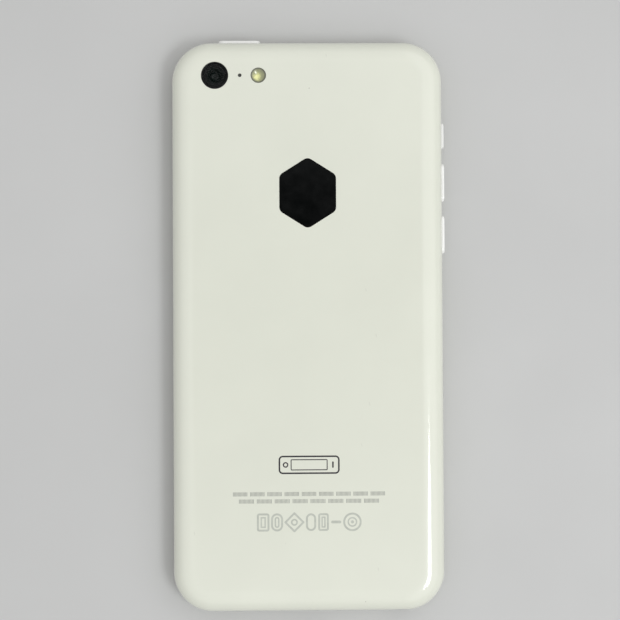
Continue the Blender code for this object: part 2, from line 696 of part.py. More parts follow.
def make_frame(parent, finish):
    """The steel frame, open where anything passes through it."""
    outside = tray_rings(FRAME_OUT, FRAME_FRONT_Z, FRAME_OUT_Z, FRAME_OUT_ROUND)
    inside = tray_rings(FRAME_IN, FRAME_FRONT_Z, FRAME_IN_Z, FRAME_IN_ROUND)
    frame = add("steel_frame", [loft(inside[::-1] + outside)], finish["steel"], parent)
    tray_y = (TRAY_FACE_Y[0] - FRAME_TRAY_MARGIN, TRAY_FACE_Y[1] + FRAME_TRAY_MARGIN)
    flash_outline = pill_outline(FRAME_FLASH_LENGTH, FRAME_FLASH_HEIGHT, (FRAME_FLASH_X, CAMERA[1]))
    bottom = FRAME_BOTTOM_Y
    base = (FRAME_IN_Z - CLEAR, FRAME_OUT_Z + CLEAR)
    cut(frame, *button_slots(FRAME_SLOT_GAP, FRAME_IN + 2 * CLEAR),
        block(FRAME_SIDE_X, tray_y, FRAME_TRAY_Z),
        block(FRAME_DOCK_X, bottom, FRAME_DOCK_Z),
        block(FRAME_SPEAKER_X, bottom, FRAME_SPEAKER_Z),
        rod(JACK_NOSE_RADIUS + FRAME_JACK_MARGIN, *bottom, (JACK_X, EDGE_Z), "Y", 12),
        rod(FRAME_MIC_RADIUS, *bottom, (BOTTOM_MIC_X, EDGE_Z), "Y", 8),
        rod(FRAME_SCREW_RADIUS, *bottom, (BOTTOM_SCREW_X, EDGE_Z), "Y", 8),
        rod(FRAME_SCREW_RADIUS, *bottom, (-BOTTOM_SCREW_X, EDGE_Z), "Y", 8),
        rod(FRAME_CAMERA_RADIUS, *base, CAMERA, sides=20),
        prism(flash_outline, *base))


# ---------------------------------------------------------------- buttons in the edge
def make_button(name, wall, facing, length, height, centre, origin, parent, finish):
    """A pill cap that slides through the wall along the facing axis, fused to its retaining flange.

    Centre is the cap's middle on the wall, along it and in height. The origin is on the line that the
    cap slides along.
    """
    cap_outline = pill_outline(length, height, centre)
    cap_shape = prism(cap_outline, wall - FLANGE_OUT - 0.1, wall + BUTTON_PROUD, facing)
    cap = add(name, [cap_shape], finish["button"], parent, origin)
    bevel(cap, CAP_CHAMFER)
    flange_outline = pill_outline(length + 2 * FLANGE_MARGIN, height + FLANGE_MARGIN, centre)
    fuse(cap, prism(flange_outline, wall - FLANGE_OUT - FLANGE_THICK, wall - FLANGE_OUT, facing))


def make_edge_buttons(parent, finish):
    """Volume buttons, ring switch and power button, with the switches that they work."""
    face = HALF_WIDTH - SWITCH_FACE
    for name, y in (("volume_up", VOLUME_UP_Y), ("volume_down", VOLUME_DOWN_Y)):
        make_button(f"{name}_button", HALF_WIDTH, "X", VOLUME_LENGTH, BUTTON_HEIGHT, (y, EDGE_Z),
                    (HALF_WIDTH, y, EDGE_Z), parent, finish)
        switch_y = (y - VOLUME_SWITCH_HALF_LENGTH, y + VOLUME_SWITCH_HALF_LENGTH)
        switch_shape = block((face - SWITCH_DEPTH, face), switch_y, VOLUME_SWITCH_Z)
        switch = add(f"{name}_switch", [switch_shape], finish["steel"], parent)
        bevel(switch, PRESSED_CHAMFER)
    make_button("ring_switch", HALF_WIDTH, "X", RING_SWITCH_LENGTH, RING_SWITCH_HEIGHT,
                (RING_SWITCH_Y, RING_SWITCH_Z), (HALF_WIDTH, RING_SWITCH_Y, RING_SWITCH_Z), parent, finish)
    module_x = face - 0.02
    module_y = (RING_SWITCH_Y - RING_MODULE_HALF_LENGTH, RING_SWITCH_Y + RING_MODULE_HALF_LENGTH)
    module_shape = block((module_x - RING_MODULE_DEPTH, module_x), module_y, RING_MODULE_Z)
    module = add("ring_switch_module", [module_shape], finish["black_plastic"], parent)
    bevel(module, PRESSED_CHAMFER)
    bracket_x = face - SWITCH_DEPTH - BRACKET_GAP
    bracket_shape = block((bracket_x - BRACKET_THICK, bracket_x), SIDE_BRACKET_Y, SIDE_BRACKET_Z)
    bracket = add("side_button_bracket", [bracket_shape], finish["steel"], parent)
    cut(bracket, *[
        rod(SIDE_BRACKET_HOLE_RADIUS, bracket_x - CLEAR, bracket_x + CLEAR, (y, EDGE_Z), "X", 10)
        for y in SIDE_BRACKET_HOLES_Y
    ])

    make_button("power_button", HALF_LENGTH, "Y", POWER_LENGTH, BUTTON_HEIGHT, (POWER_X, EDGE_Z),
                (POWER_X, HALF_LENGTH, EDGE_Z), parent, finish)
    face = HALF_LENGTH - SWITCH_FACE
    switch_x = (POWER_SWITCH_X - POWER_SWITCH_HALF_LENGTH, POWER_SWITCH_X + POWER_SWITCH_HALF_LENGTH)
    switch = add("power_switch", [block(switch_x, (face - SWITCH_DEPTH, face), POWER_SWITCH_Z)],
                 finish["steel"], parent)
    bevel(switch, PRESSED_CHAMFER)
    bracket_y = face - SWITCH_DEPTH - BRACKET_GAP
    bracket_shape = block(POWER_BRACKET_X, (bracket_y - BRACKET_THICK, bracket_y), POWER_BRACKET_Z)
    add("power_switch_bracket", [bracket_shape], finish["steel"], parent)


# ---------------------------------------------------------------- cameras, flash and microphones
def make_rear_camera(parent, finish):
    """The autofocus camera, its trim ring and window in the shell, and the flash and microphone beside it."""
    around_x = (CAMERA[0] - CAMERA_BODY_HALF, CAMERA[0] + CAMERA_BODY_HALF)
    around_y = (CAMERA[1] - CAMERA_BODY_HALF, CAMERA[1] + CAMERA_BODY_HALF)
    module = add("rear_camera_module", [block(around_x, around_y, CAMERA_BODY_Z)],
                 finish["black_plastic"], parent)
    fuse(module, rod(CAMERA_TUBE_RADIUS, *CAMERA_TUBE_Z, CAMERA, sides=20))
    cut(module, rod(CAMERA_BORE_RADIUS, *CAMERA_BORE_Z, CAMERA, sides=20))
    lens_profile = [(0, LENS_BACK_Z), (2.3, LENS_BACK_Z), (2.3, 7.55), (2.15, 7.7),
                    (1.5, 7.7), (1.3, 7.3), (0, 7.45)]
    lens = add("rear_camera_lens", [turned(lens_profile, 20, CAMERA)], finish["lens"], parent,
               (*CAMERA, LENS_BACK_Z))
    smooth(lens)

    ring_in, ring_out = CAMERA_RADIUS - TRIM_RING_WALL, CAMERA_RADIUS
    ring_profile = [
        (ring_in, TRIM_FLANGE_Z[0]), (TRIM_FLANGE_RADIUS, TRIM_FLANGE_Z[0]),
        (TRIM_FLANGE_RADIUS, TRIM_FLANGE_Z[1]), (ring_out, TRIM_FLANGE_Z[1]),
        (ring_out, TRIM_FRONT_Z - 0.04), (ring_out - 0.06, TRIM_FRONT_Z), (ring_in, TRIM_FRONT_Z),
    ]
    ring = add("camera_trim_ring", [turned(ring_profile, 32, CAMERA)], finish["dark_metal"], parent)
    smooth(ring)
    window_shape = rod(ring_in - 0.06, *WINDOW_Z, CAMERA, sides=32)
    window = add("camera_window", [window_shape], finish["lens"], parent)
    smooth(window)
    make_flash_and_microphone(parent, finish)


def make_flash_and_microphone(parent, finish):
    """The flash's lens over its lamp, and the microphone between the flash and the camera."""
    flash_profile = [
        (0, FLASH_FLANGE_Z[0]), (FLASH_FLANGE_RADIUS, FLASH_FLANGE_Z[0]),
        (FLASH_FLANGE_RADIUS, FLASH_FLANGE_Z[1]), (FLASH_RADIUS, FLASH_FLANGE_Z[1]),
        (FLASH_RADIUS, FLASH_RIM_Z), (0, FLASH_CROWN_Z),
    ]
    flash = add("flash_lens", [turned(flash_profile, 20, FLASH)], finish["flash"], parent)
    smooth(flash)
    led_x = (FLASH[0] - LED_HALF, FLASH[0] + LED_HALF)
    led_y = (FLASH[1] - LED_HALF, FLASH[1] + LED_HALF)
    add("flash_led", [block(led_x, led_y, LED_Z)], finish["phosphor"], parent)
    mic_x = (REAR_MIC[0] - REAR_MIC_HALF[0], REAR_MIC[0] + REAR_MIC_HALF[0])
    mic_y = (REAR_MIC[1] - REAR_MIC_HALF[1], REAR_MIC[1] + REAR_MIC_HALF[1])
    mic = add("rear_microphone", [block(mic_x, mic_y, REAR_MIC_Z)], finish["gold"], parent)
    fuse(mic, rod(REAR_MIC_SPOUT_RADIUS, *REAR_MIC_SPOUT_Z, REAR_MIC, sides=12))


# ---------------------------------------------------------------- board, battery and SIM tray
def shield_can(name, x_range, y_range, finish, parent):
    """A pressed lid, open towards the logic board."""
    can = add(name, [block(x_range, y_range, (SHIELD_Z, BOARD_Z[0] - 0.08))], finish, parent)
    bevel(can, 0.25)
    cut(can, block((x_range[0] + SHIELD_WALL, x_range[1] - SHIELD_WALL),
                   (y_range[0] + SHIELD_WALL, y_range[1] - SHIELD_WALL),
                   (SHIELD_Z + SHIELD_WALL, BOARD_Z[0] + CLEAR)))


def make_electronics(parent, finish):
    """Logic board with its chips and shields, and the battery with its adhesive and connector."""
    board = add("logic_board", [block(BOARD_X, BOARD_Y, BOARD_Z)], finish["board"], parent)
    cut(board, block(*BOARD_CAMERA_NOTCH), block(*BOARD_BATTERY_NOTCH),
        *[rod(BOARD_HOLE_RADIUS, 5.0, 7.0, place, sides=10) for place in BOARD_HOLES])
    shield_can("processor_shield", PROCESSOR_SHIELD_X, PROCESSOR_SHIELD_Y, finish["steel"], parent)
    shield_can("radio_shield", RADIO_SHIELD_X, RADIO_SHIELD_Y, finish["steel"], parent)
    add("main_processor", [block(*PROCESSOR_BOX)], finish["chip"], parent)
    add("radio_chip", [block(*RADIO_CHIP_BOX)], finish["chip"], parent)
    cover_outline = rounded_outline(CONNECTOR_COVER_HALF, CONNECTOR_COVER_HALF, 0.6, 2, CONNECTOR_COVER)
    cover = add("connector_cover", [prism(cover_outline, *CONNECTOR_COVER_Z)], finish["steel"], parent)
    smooth(cover)

    battery = add("battery", [block(BATTERY_X, BATTERY_Y, BATTERY_Z)], finish["battery"], parent)
    bevel(battery, 0.9, 2)
    adhesive_outline = rounded_outline(*ADHESIVE_HALF, 1.0, 2, ADHESIVE_CENTRE)
    add("battery_adhesive", [prism(adhesive_outline, *ADHESIVE_Z)], finish["adhesive"], parent)
    add("battery_connector", [block(*BATTERY_PLUG_BOX)], finish["black_plastic"], parent)


def make_sim_tray(parent, finish):
    """The pull-out tray with its card."""
    face_y = sum(TRAY_FACE_Y) / 2
    face_outline = pill_outline(TRAY_FACE_Y[1] - TRAY_FACE_Y[0], TRAY_FACE_HEIGHT, (face_y, EDGE_Z))
    tray = add("sim_tray", [prism(face_outline, *TRAY_FACE_X, facing="X")], finish["button"], parent,
               (-HALF_WIDTH, face_y, EDGE_Z))
    fuse(tray, block((-29.0, TRAY_INNER_X), TRAY_BODY_Y, TRAY_BODY_Z))
    card_x = (SIM_LOW_X, SIM_LOW_X + SIM_WIDTH)
    card_mid = sum(TRAY_BODY_Y) / 2
    card_y = (card_mid - SIM_LENGTH / 2, card_mid + SIM_LENGTH / 2)
    cut(tray,
        block((card_x[0] - SIM_GAP, card_x[1] + SIM_GAP), (card_y[0] - SIM_GAP, card_y[1] + SIM_GAP),
              (POCKET_Z, 6.0)),
        rod(EJECT_HOLE_RADIUS, -31.0, -27.0, (EJECT_Y, EDGE_Z), "X", 12))
    cut(tray,
        block((card_x[0] + SIM_LEDGE, card_x[1] - SIM_LEDGE), (card_y[0] + SIM_LEDGE, card_y[1] - SIM_LEDGE),
              (3.0, POCKET_Z + 0.1)),
        block((TRAY_INNER_X - TRAY_NOTCH_DEPTH, TRAY_INNER_X + CLEAR), TRAY_NOTCH_Y, (3.0, 6.0)))

    card = [(card_x[0], card_y[0]), (card_x[1], card_y[0]), (card_x[1], card_y[1] - SIM_CORNER),
            (card_x[1] - SIM_CORNER, card_y[1]), (card_x[0], card_y[1])]
    card_z = POCKET_Z + 0.06
    add("sim_card", [prism(card, card_z, card_z + SIM_THICK)], finish["card"], parent)
    make_card_reader(parent, finish)


def make_card_reader(parent, finish):
    """The reader that the tray slides in, and the rod and lever that push the tray out."""
    outer_y = (TRAY_BODY_Y[0] - READER_SLOT_GAP - READER_WALL, TRAY_BODY_Y[1] + READER_SLOT_GAP + READER_WALL)
    slot_y = (TRAY_BODY_Y[0] - READER_SLOT_GAP, TRAY_BODY_Y[1] + READER_SLOT_GAP)
    reader = add("sim_card_reader", [block(READER_X, outer_y, READER_Z)], finish["steel"], parent)
    cut(reader, block((READER_X[0] - CLEAR, READER_X[1] + CLEAR), slot_y, READER_SLOT_Z))
    pivot_x, pivot_y = LEVER_PIVOT
    fuse(reader, block((READER_X[1] - 0.5, pivot_x + PIVOT_TAB_HALF),
                       (pivot_y - PIVOT_TAB_HALF, pivot_y + PIVOT_TAB_HALF), PIVOT_TAB_Z))
    fuse(reader, rod(LEVER_PIN_RADIUS, *LEVER_PIN_Z, LEVER_PIVOT, sides=12))

    lever = add("sim_eject_lever", [lever_shape()], finish["steel"], parent, (*LEVER_PIVOT, LEVER_Z[0]))
    cut(lever, rod(LEVER_EYE_RADIUS, 3.0, 6.0, LEVER_PIVOT, sides=12))
    smooth(lever)
    inner_x = pivot_x - LEVER_THICK / 2 - EJECT_ROD_GAP
    push_shape = rod(EJECT_ROD_RADIUS, EJECT_ROD_OUTER_X, inner_x, (EJECT_Y, EDGE_Z), "X", 10)
    push = add("sim_eject_rod", [push_shape], finish["steel"], parent, (EJECT_ROD_OUTER_X, EJECT_Y, EDGE_Z))
    smooth(push)


def lever_shape():
    """A straight two-armed lever along Y with a round boss at its pivot, as one outline."""
    x, y = LEVER_PIVOT
    half, boss, steps = LEVER_THICK / 2, LEVER_BOSS_RADIUS, 6
    start = math.asin(half / boss)
    outline = []
    for centre_angle, side in ((0, 1), (180, -1)):
        first = math.radians(centre_angle) - math.pi / 2 + start
        for k in range(steps + 1):
            angle = first + k * (math.pi - 2 * start) / steps
            outline.append((x + boss * math.cos(angle), y + boss * math.sin(angle)))
        outline.append((x + side * half, y + side * LEVER_ARM))
        outline.append((x - side * half, y + side * LEVER_ARM))
    return prism(outline, *LEVER_Z)


# ---------------------------------------------------------------- vibration motor, sounders and sockets
def make_motor(parent, finish):
    """A small motor whose shaft turns an off-centre weight, heavy side towards the front."""
    centre = (MOTOR_Y, MOTOR_Z)
    motor = add("vibration_motor", [rod(MOTOR_RADIUS, *MOTOR_X, centre, "X", 20)], finish["steel"], parent)
    cut(motor, rod(SHAFT_BORE_RADIUS, MOTOR_X[1] - SHAFT_BORE_DEPTH, MOTOR_X[1] + CLEAR, centre, "X", 10))
    smooth(motor)
    shaft_x = (MOTOR_X[1] - SHAFT_INSERTED, WEIGHT_X[1] + SHAFT_OVERHANG)
    shaft = add("motor_shaft", [rod(SHAFT_RADIUS, *shaft_x, centre, "X", 10)], finish["steel"], parent,
                (MOTOR_X[1], *centre))
    smooth(shaft)
    rim_steps, hub_steps = 10, 6
    half_moon = [
        (centre[0] + MOTOR_RADIUS * math.cos(a), centre[1] + MOTOR_RADIUS * math.sin(a))
        for a in (math.pi + math.pi * k / rim_steps for k in range(rim_steps + 1))
    ]
    half_moon += [
        (centre[0] + WEIGHT_HUB_RADIUS * math.cos(a), centre[1] + WEIGHT_HUB_RADIUS * math.sin(a))
        for a in (math.pi * k / hub_steps for k in range(hub_steps + 1))
    ]
    weight_shape = prism(half_moon, *WEIGHT_X, facing="X")
    weight = add("vibration_weight", [weight_shape], finish["dark_metal"], parent, (WEIGHT_X[0], *centre))
    cut(weight, rod(WEIGHT_BORE_RADIUS, WEIGHT_X[0] - CLEAR, WEIGHT_X[1] + CLEAR, centre, "X", 10))
    smooth(weight)


def make_bottom_end(parent, finish):
    """Loudspeaker, dock socket, headphone socket, microphone and the flex that joins them to the board."""
    speaker = add("loudspeaker", [block(*SPEAKER_BOX)], finish["black_plastic"], parent)
    bevel(speaker, 0.6, 2)
    cut(speaker, block(*SPEAKER_NOTCH_BOX))
    add("loudspeaker_mesh", [block(*SPEAKER_MESH_BOX)], finish["mesh"], parent)

    dock = add("dock_connector", [block(*DOCK_BODY_BOX)], finish["steel"], parent)
    fuse(dock, prism(pill_outline(DOCK_WIDTH, DOCK_HEIGHT, (0.0, EDGE_Z)), DOCK_FACE_Y, -60.0, "Y"))
    socket_mid = (SOCKET_LOW_Z + SOCKET_HIGH_Z) / 2
    socket_outline = pill_outline(SOCKET_WIDTH, SOCKET_HIGH_Z - SOCKET_LOW_Z, (0.0, socket_mid), 3)
    cut(dock, prism(socket_outline, -63.0, DOCK_FACE_Y + SOCKET_DEPTH, "Y"))
    contacts_z = (SOCKET_LOW_Z + CONTACTS_RISE[0], SOCKET_LOW_Z + CONTACTS_RISE[1])
    add("dock_contacts", [block(CONTACTS_X, CONTACTS_Y, contacts_z)], finish["gold"], parent)

    jack_profile = [
        (0, JACK_END_Y), (JACK_BODY_RADIUS, JACK_END_Y), (JACK_BODY_RADIUS, JACK_SHOULDER_Y),
        (JACK_NOSE_RADIUS, JACK_SHOULDER_Y), (JACK_NOSE_RADIUS, JACK_FACE_Y),
        (JACK_BORE_RADIUS, JACK_FACE_Y), (JACK_BORE_RADIUS, JACK_BORE_END_Y), (0, JACK_BORE_END_Y),
    ]
    jack = add("headphone_socket", [turned(jack_profile, 20, (JACK_X, EDGE_Z), "Y")],
               finish["black_plastic"], parent)
    smooth(jack)

    mic_x = (BOTTOM_MIC_X - BOTTOM_MIC_HALF_WIDTH, BOTTOM_MIC_X + BOTTOM_MIC_HALF_WIDTH)
    mic = add("bottom_microphone", [block(mic_x, BOTTOM_MIC_Y, BOTTOM_MIC_Z)], finish["gold"], parent)
    fuse(mic, rod(BOTTOM_MIC_SPOUT_RADIUS, *BOTTOM_MIC_SPOUT_Y, (BOTTOM_MIC_X, EDGE_Z), "Y", 10))
    add("bottom_flex", [prism(BOTTOM_FLEX_OUTLINE, *BOTTOM_FLEX_Z)], finish["flex"], parent)


# ---------------------------------------------------------------- the whole phone
def make_finishes():
    """The materials, by name."""
    return {
        "shell": material("shell_gloss_white", (0.80, 0.80, 0.74), 0.18),
        "button": material("button_gloss_white", (0.86, 0.86, 0.82), 0.2),
        "front_glass": material("front_glass_black", (0.010, 0.010, 0.012), 0.05),
        "black_plastic": material("black_plastic", (0.02, 0.02, 0.022), 0.4),
        "display": material("display_black", (0.015, 0.015, 0.02), 0.15),
        "steel": material("stainless_steel", (0.56, 0.56, 0.55), 0.35, 1.0),
        "dark_metal": material("dark_metal", (0.06, 0.06, 0.065), 0.3, 1.0),
        "screw": material("screw_steel", (0.6, 0.6, 0.6), 0.3, 1.0),
        "mesh": material("acoustic_mesh", (0.05, 0.05, 0.05), 0.6, 0.6),
        "sensor": material("sensor_violet", (0.05, 0.03, 0.07), 0.25),
        "rubber": material("black_rubber", (0.02, 0.02, 0.02), 0.8),
        "lens": material("lens_glass", (0.01, 0.012, 0.016), 0.05),
        "flash": material("flash_lens_clear", (0.85, 0.82, 0.55), 0.1),
        "phosphor": material("led_phosphor", (0.9, 0.75, 0.15), 0.5),
        "board": material("board_black", (0.015, 0.03, 0.03), 0.45),
        "chip": material("chip_black", (0.03, 0.03, 0.03), 0.5),
        "battery": material("battery_wrap", (0.03, 0.03, 0.03), 0.35),
        "adhesive": material("adhesive_white", (0.7, 0.7, 0.68), 0.7),
        "flex": material("flex_film", (0.08, 0.05, 0.02), 0.4),
        "gold": material("contact_gold", (0.83, 0.62, 0.25), 0.3, 1.0),
        "card": material("sim_card_white", (0.75, 0.75, 0.75), 0.4),
    }


def main():
    for existing in list(bpy.data.objects):
        bpy.data.objects.remove(existing)
    finish = make_finishes()
    phone = group("phone")
    front = group("front_panel", phone)
    rear = group("rear_case", phone)
    make_front_panel(front, finish)
    make_rear_case(rear, finish)
    make_edge_buttons(rear, finish)
    make_rear_camera(rear, finish)
    make_electronics(rear, finish)
    make_sim_tray(rear, finish)
    make_motor(rear, finish)
    make_bottom_end(rear, finish)


main()
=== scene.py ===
import json
import math

import bmesh
import bpy
from mathutils import Matrix, Vector


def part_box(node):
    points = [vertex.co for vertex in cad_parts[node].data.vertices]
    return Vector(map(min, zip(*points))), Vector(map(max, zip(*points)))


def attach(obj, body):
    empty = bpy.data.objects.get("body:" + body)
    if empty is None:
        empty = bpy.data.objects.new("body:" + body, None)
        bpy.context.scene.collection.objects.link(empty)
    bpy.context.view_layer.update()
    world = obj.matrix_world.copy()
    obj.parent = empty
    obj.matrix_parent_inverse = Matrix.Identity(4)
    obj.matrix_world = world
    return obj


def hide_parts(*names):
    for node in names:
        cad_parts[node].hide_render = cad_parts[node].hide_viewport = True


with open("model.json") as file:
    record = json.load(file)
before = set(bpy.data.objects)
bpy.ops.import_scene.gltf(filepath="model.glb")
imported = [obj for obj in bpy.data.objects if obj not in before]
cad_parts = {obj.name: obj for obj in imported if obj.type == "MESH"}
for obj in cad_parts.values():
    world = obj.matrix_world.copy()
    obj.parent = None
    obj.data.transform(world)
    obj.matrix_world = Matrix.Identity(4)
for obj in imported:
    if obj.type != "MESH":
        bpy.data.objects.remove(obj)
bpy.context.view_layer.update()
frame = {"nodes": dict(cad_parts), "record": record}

# Looks of the smartphone. Shapes are given in millimetres in the phone's own frame, and solid() scales them.
# +Z is the outward normal of the back, +Y points to the top end, +X to the side with the volume buttons.
MM = 0.001


def box_mm(node):
    """Lowest and highest corner of a CAD node, in millimetres."""
    low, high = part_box(node)
    return low / MM, high / MM


def middle(node):
    low, high = box_mm(node)
    return (low + high) / 2


# ------------ sizes, as in the CAD
SHELL_LOW, SHELL_HIGH = box_mm("rear_shell")
HALF_WIDTH, HALF_LENGTH, THICKNESS = SHELL_HIGH
RIM_Z = SHELL_LOW.z
RIM_FILLET = 0.35
CORNER_RADIUS = 8.65
CORNER_STEPS = 28
SHELL_WALL = 1.05
VAULT_Z = 4.17                # where the inside of the side wall starts to curve into the back's
VAULT_REACH = 3.3             # how far inwards that curve comes
VAULT_STEPS = 6
ROUND_WIDTH = 5.2             # how far the back's rounded edge reaches in
ROUND_HEIGHT = 4.7            # and how far down the side
ROUND_POWER = 2.5             # a superellipse, fuller than a quarter circle
ROUND_STEPS = 28
HOLE_DEPTH = SHELL_WALL + 1.0
SLOT_GAP = 0.1
SLOT_FILLET = 0.12

EDGE_Z = middle("volume_up_button").z
BUTTON_PROUD = 0.5
BUTTON_HEIGHT = 2.3
FLANGE_OUT = 1.92             # from the shell's side in to the button's flange
FLANGE_THICK = 0.4
FLANGE_MARGIN = 0.45
VOLUME_LENGTH = 8.4
POWER_LENGTH = 9.3
RING_LENGTH = 5.5
RING_HEIGHT = 1.9
RING_TRAVEL = 0.7

CAMERA = middle("camera_trim_ring")
CAMERA_RADIUS = 2.9
CAMERA_INNER = CAMERA_RADIUS - 0.28
WINDOW_RADIUS = CAMERA_INNER - 0.06
FLASH = middle("flash_lens")
FLASH_RADIUS = 1.6
REAR_MIC = middle("rear_microphone")
REAR_MIC_RADIUS = 0.4

DISPLAY_HALF = (24.95, 44.3)
GLASS_INSET = 1.56
GLASS_BACK_Z = 0.9
BEZEL_INSET = 1.12
HOME = middle("home_button")
HOME_RADIUS = 5.35
HOME_FACE_Z = 0.12
FRONT_CAMERA = middle("front_camera")
FRONT_CAMERA_RADIUS = 1.1

TRAY_PLATE_X = -28.65         # back of the tray's front plate
TRAY_BODY_X = -29.0           # where the tray's body starts, inside that plate
TRAY_BODY_Y = (-1.9, 11.0)
TRAY_BODY_Z = (3.95, 4.85)
EJECT_HOLE_Y = -2.75
EJECT_HOLE_RADIUS = 0.45

DOCK_SIZE = (8.2, 2.6)
JACK_NOSE_RADIUS = 2.2
JACK_BORE_RADIUS = 1.75
BOTTOM_MIC_RADIUS = 0.45
SPEAKER_HOLE = (1.9, 1.1)
SPEAKER_HOLES_X = (-12.4, -15.2, -18.0, -20.8)
BOTTOM_SCREWS = ("bottom_screw_right", "bottom_screw_left")
SCREW_HEAD_HOLE = (0.95, 0.55)    # radius and depth
SCREW_SHANK_HOLE_RADIUS = 0.65


def on_side(node):
    """Where a node meets the long edge, at mid-height."""
    return middle(node).y, EDGE_Z


def on_end(node):
    """Where a node meets the short edge, at mid-height."""
    return middle(node).x, EDGE_Z


# ------------ outlines and solids, in millimetres
def rounded_outline(half_x, half_y, radius, steps=10, centre=(0.0, 0.0)):
    """A rectangle with round corners, anticlockwise. A point shared by two corners is kept once."""
    points = []
    for corner, (sign_x, sign_y) in enumerate(((1, 1), (-1, 1), (-1, -1), (1, -1))):
        for step in range(steps + 1):
            angle = math.radians(90 * (corner + step / steps))
            points.append((centre[0] + sign_x * (half_x - radius) + radius * math.cos(angle),
                           centre[1] + sign_y * (half_y - radius) + radius * math.sin(angle)))
    return [point for i, point in enumerate(points) if math.dist(point, points[i - 1]) > 1e-6]


def circle(radius, centre, sides=64):
    return [(centre[0] + radius * math.cos(a), centre[1] + radius * math.sin(a))
            for a in (2 * math.pi * k / sides for k in range(sides))]


# These three give an outline as a function of how far it is moved inwards.
def box_at(half_x, half_y, radius, centre, steps=10, least=0.0):
    def outline(inset):
        return rounded_outline(half_x - inset, half_y - inset, max(radius - inset, least), steps, centre)
    return outline


def pill_at(length, height, centre, steps=12):
    return box_at(length / 2, height / 2, height / 2, centre, steps)


def circle_at(radius, centre, sides=64):
    return lambda inset: circle(radius - inset, centre, sides)


phone_at = box_at(HALF_WIDTH, HALF_LENGTH, CORNER_RADIUS, (0.0, 0.0), CORNER_STEPS)


def rounded_polygon(corners, radius, steps=8):
    """A convex polygon's corners rounded with an arc each."""
    points = []
    count = len(corners)
    for i, corner in enumerate(corners):
        here = Vector(corner)
        back = (Vector(corners[i - 1]) - here).normalized()
        ahead = (Vector(corners[(i + 1) % count]) - here).normalized()
        half = back.angle(ahead) / 2
        centre = here + (back + ahead).normalized() * (radius / math.sin(half))
        start = here + back * (radius / math.tan(half)) - centre
        first = math.atan2(start.y, start.x)
        for step in range(steps + 1):
            angle = first + (math.pi - 2 * half) * step / steps
            points.append((centre.x + radius * math.cos(angle), centre.y + radius * math.sin(angle)))
    return points


def in_space(u, v, depth, facing):
    return {"X": (depth, u, v), "Y": (u, depth, v), "Z": (u, v, depth)}[facing]


def loft(rings, facing="Z", closed=False):
    """A solid through (outline, depth) rings, capped at both ends, or closed from the last to the first.
    An outline of one point makes a tip, which has no cap."""
    shape = bmesh.new()
    loops = [[shape.verts.new(in_space(u, v, depth, facing)) for u, v in outline] for outline, depth in rings]
    pairs = list(zip(loops, loops[1:]))
    if closed:
        pairs.append((loops[-1], loops[0]))
    else:
        for end in (loops[0], loops[-1]):
            if len(end) > 1:
                shape.faces.new(end)
    for lower, upper in pairs:
        count = max(len(lower), len(upper))
        for i in range(count):
            corners = [lower[k % len(lower)] for k in (i, i + 1)]
            corners += [upper[k % len(upper)] for k in (i + 1, i)]
            shape.faces.new(list(dict.fromkeys(corners)))
    bmesh.ops.recalc_face_normals(shape, faces=shape.faces)
    return shape


def prism(outline, low, high, facing="Z"):
    return loft([(outline, low), (outline, high)], facing)


def block(x_range, y_range, z_range):
    (x0, x1), (y0, y1) = x_range, y_range
    return prism([(x0, y0), (x1, y0), (x1, y1), (x0, y1)], *z_range)


def arc(radius, steps=5):
    """(inset, rise) pairs round a quarter circle, from a wall to a face."""
    return [(radius * (1 - math.cos(a)), radius * math.sin(a))
            for a in (math.pi / 2 * k / steps for k in range(steps + 1))]


def cap_solid(outline_at, low, high, radius, facing="Z", steps=5, both=False):
    """An extrusion with its far edge, or both edges, rounded."""
    side = 1 if high > low else -1
    edge = arc(radius, steps)
    if both:
        rings = [(outline_at(inset), low + side * (radius - rise)) for inset, rise in reversed(edge)]
    else:
        rings = [(outline_at(0.0), low)]
    rings += [(outline_at(inset), high - side * (radius - rise)) for inset, rise in edge]
    return loft(rings, facing)


def mouth(outline_at, inner, surface, gap, fillet, facing, steps=4):
    """A cutter for a hole that is a gap wider than its outline and has a rounded rim in the surface."""
    side = 1 if surface > inner else -1
    rings = [(outline_at(-gap), inner)]
    for inset, rise in arc(fillet, steps):
        rings.append((outline_at(-gap - inset), surface - side * (fillet - rise)))
    rings.append((outline_at(-gap - fillet), surface + side))
    return loft(rings, facing)


def turned(profile, centre, facing="Z", sides=64):
    """A profile of (radius, depth) points turned about an axis. One that misses the axis makes a ring."""
    rings = [(circle(radius, centre, sides) if radius else [centre], depth) for radius, depth in profile]
    return loft(rings, facing, closed=profile[0][0] > 0)


# ------------ pieces
def solid(name, *shapes):
    """One object from shapes that don't touch each other."""
    joined = bmesh.new()
    for shape in shapes:
        part = bpy.data.meshes.new(name)
        shape.to_mesh(part)
        shape.free()
        joined.from_mesh(part)
        bpy.data.meshes.remove(part)
    joined.transform(Matrix.Scale(MM, 4))
    mesh = bpy.data.meshes.new(name)
    joined.to_mesh(mesh)
    joined.free()
    made = bpy.data.objects.new(name, mesh)
    bpy.context.scene.collection.objects.link(made)
    return made


def settle(made):
    """Applies an object's modifiers."""
    bpy.context.view_layer.update()
    graph = bpy.context.evaluated_depsgraph_get()
    mesh = bpy.data.meshes.new_from_object(made.evaluated_get(graph))
    made.modifiers.clear()
    old, made.data = made.data, mesh
    bpy.data.meshes.remove(old)
    mesh.name = made.name


def boolean(made, operation, *shapes):
    tool = solid(f"{made.name}_tool", *shapes)
    modifier = made.modifiers.new(operation.title(), "BOOLEAN")
    modifier.operation = operation
    modifier.solver = "EXACT"
    modifier.object = tool
    settle(made)
    bpy.data.objects.remove(tool)


def carve(made, *shapes):
    boolean(made, "DIFFERENCE", *shapes)


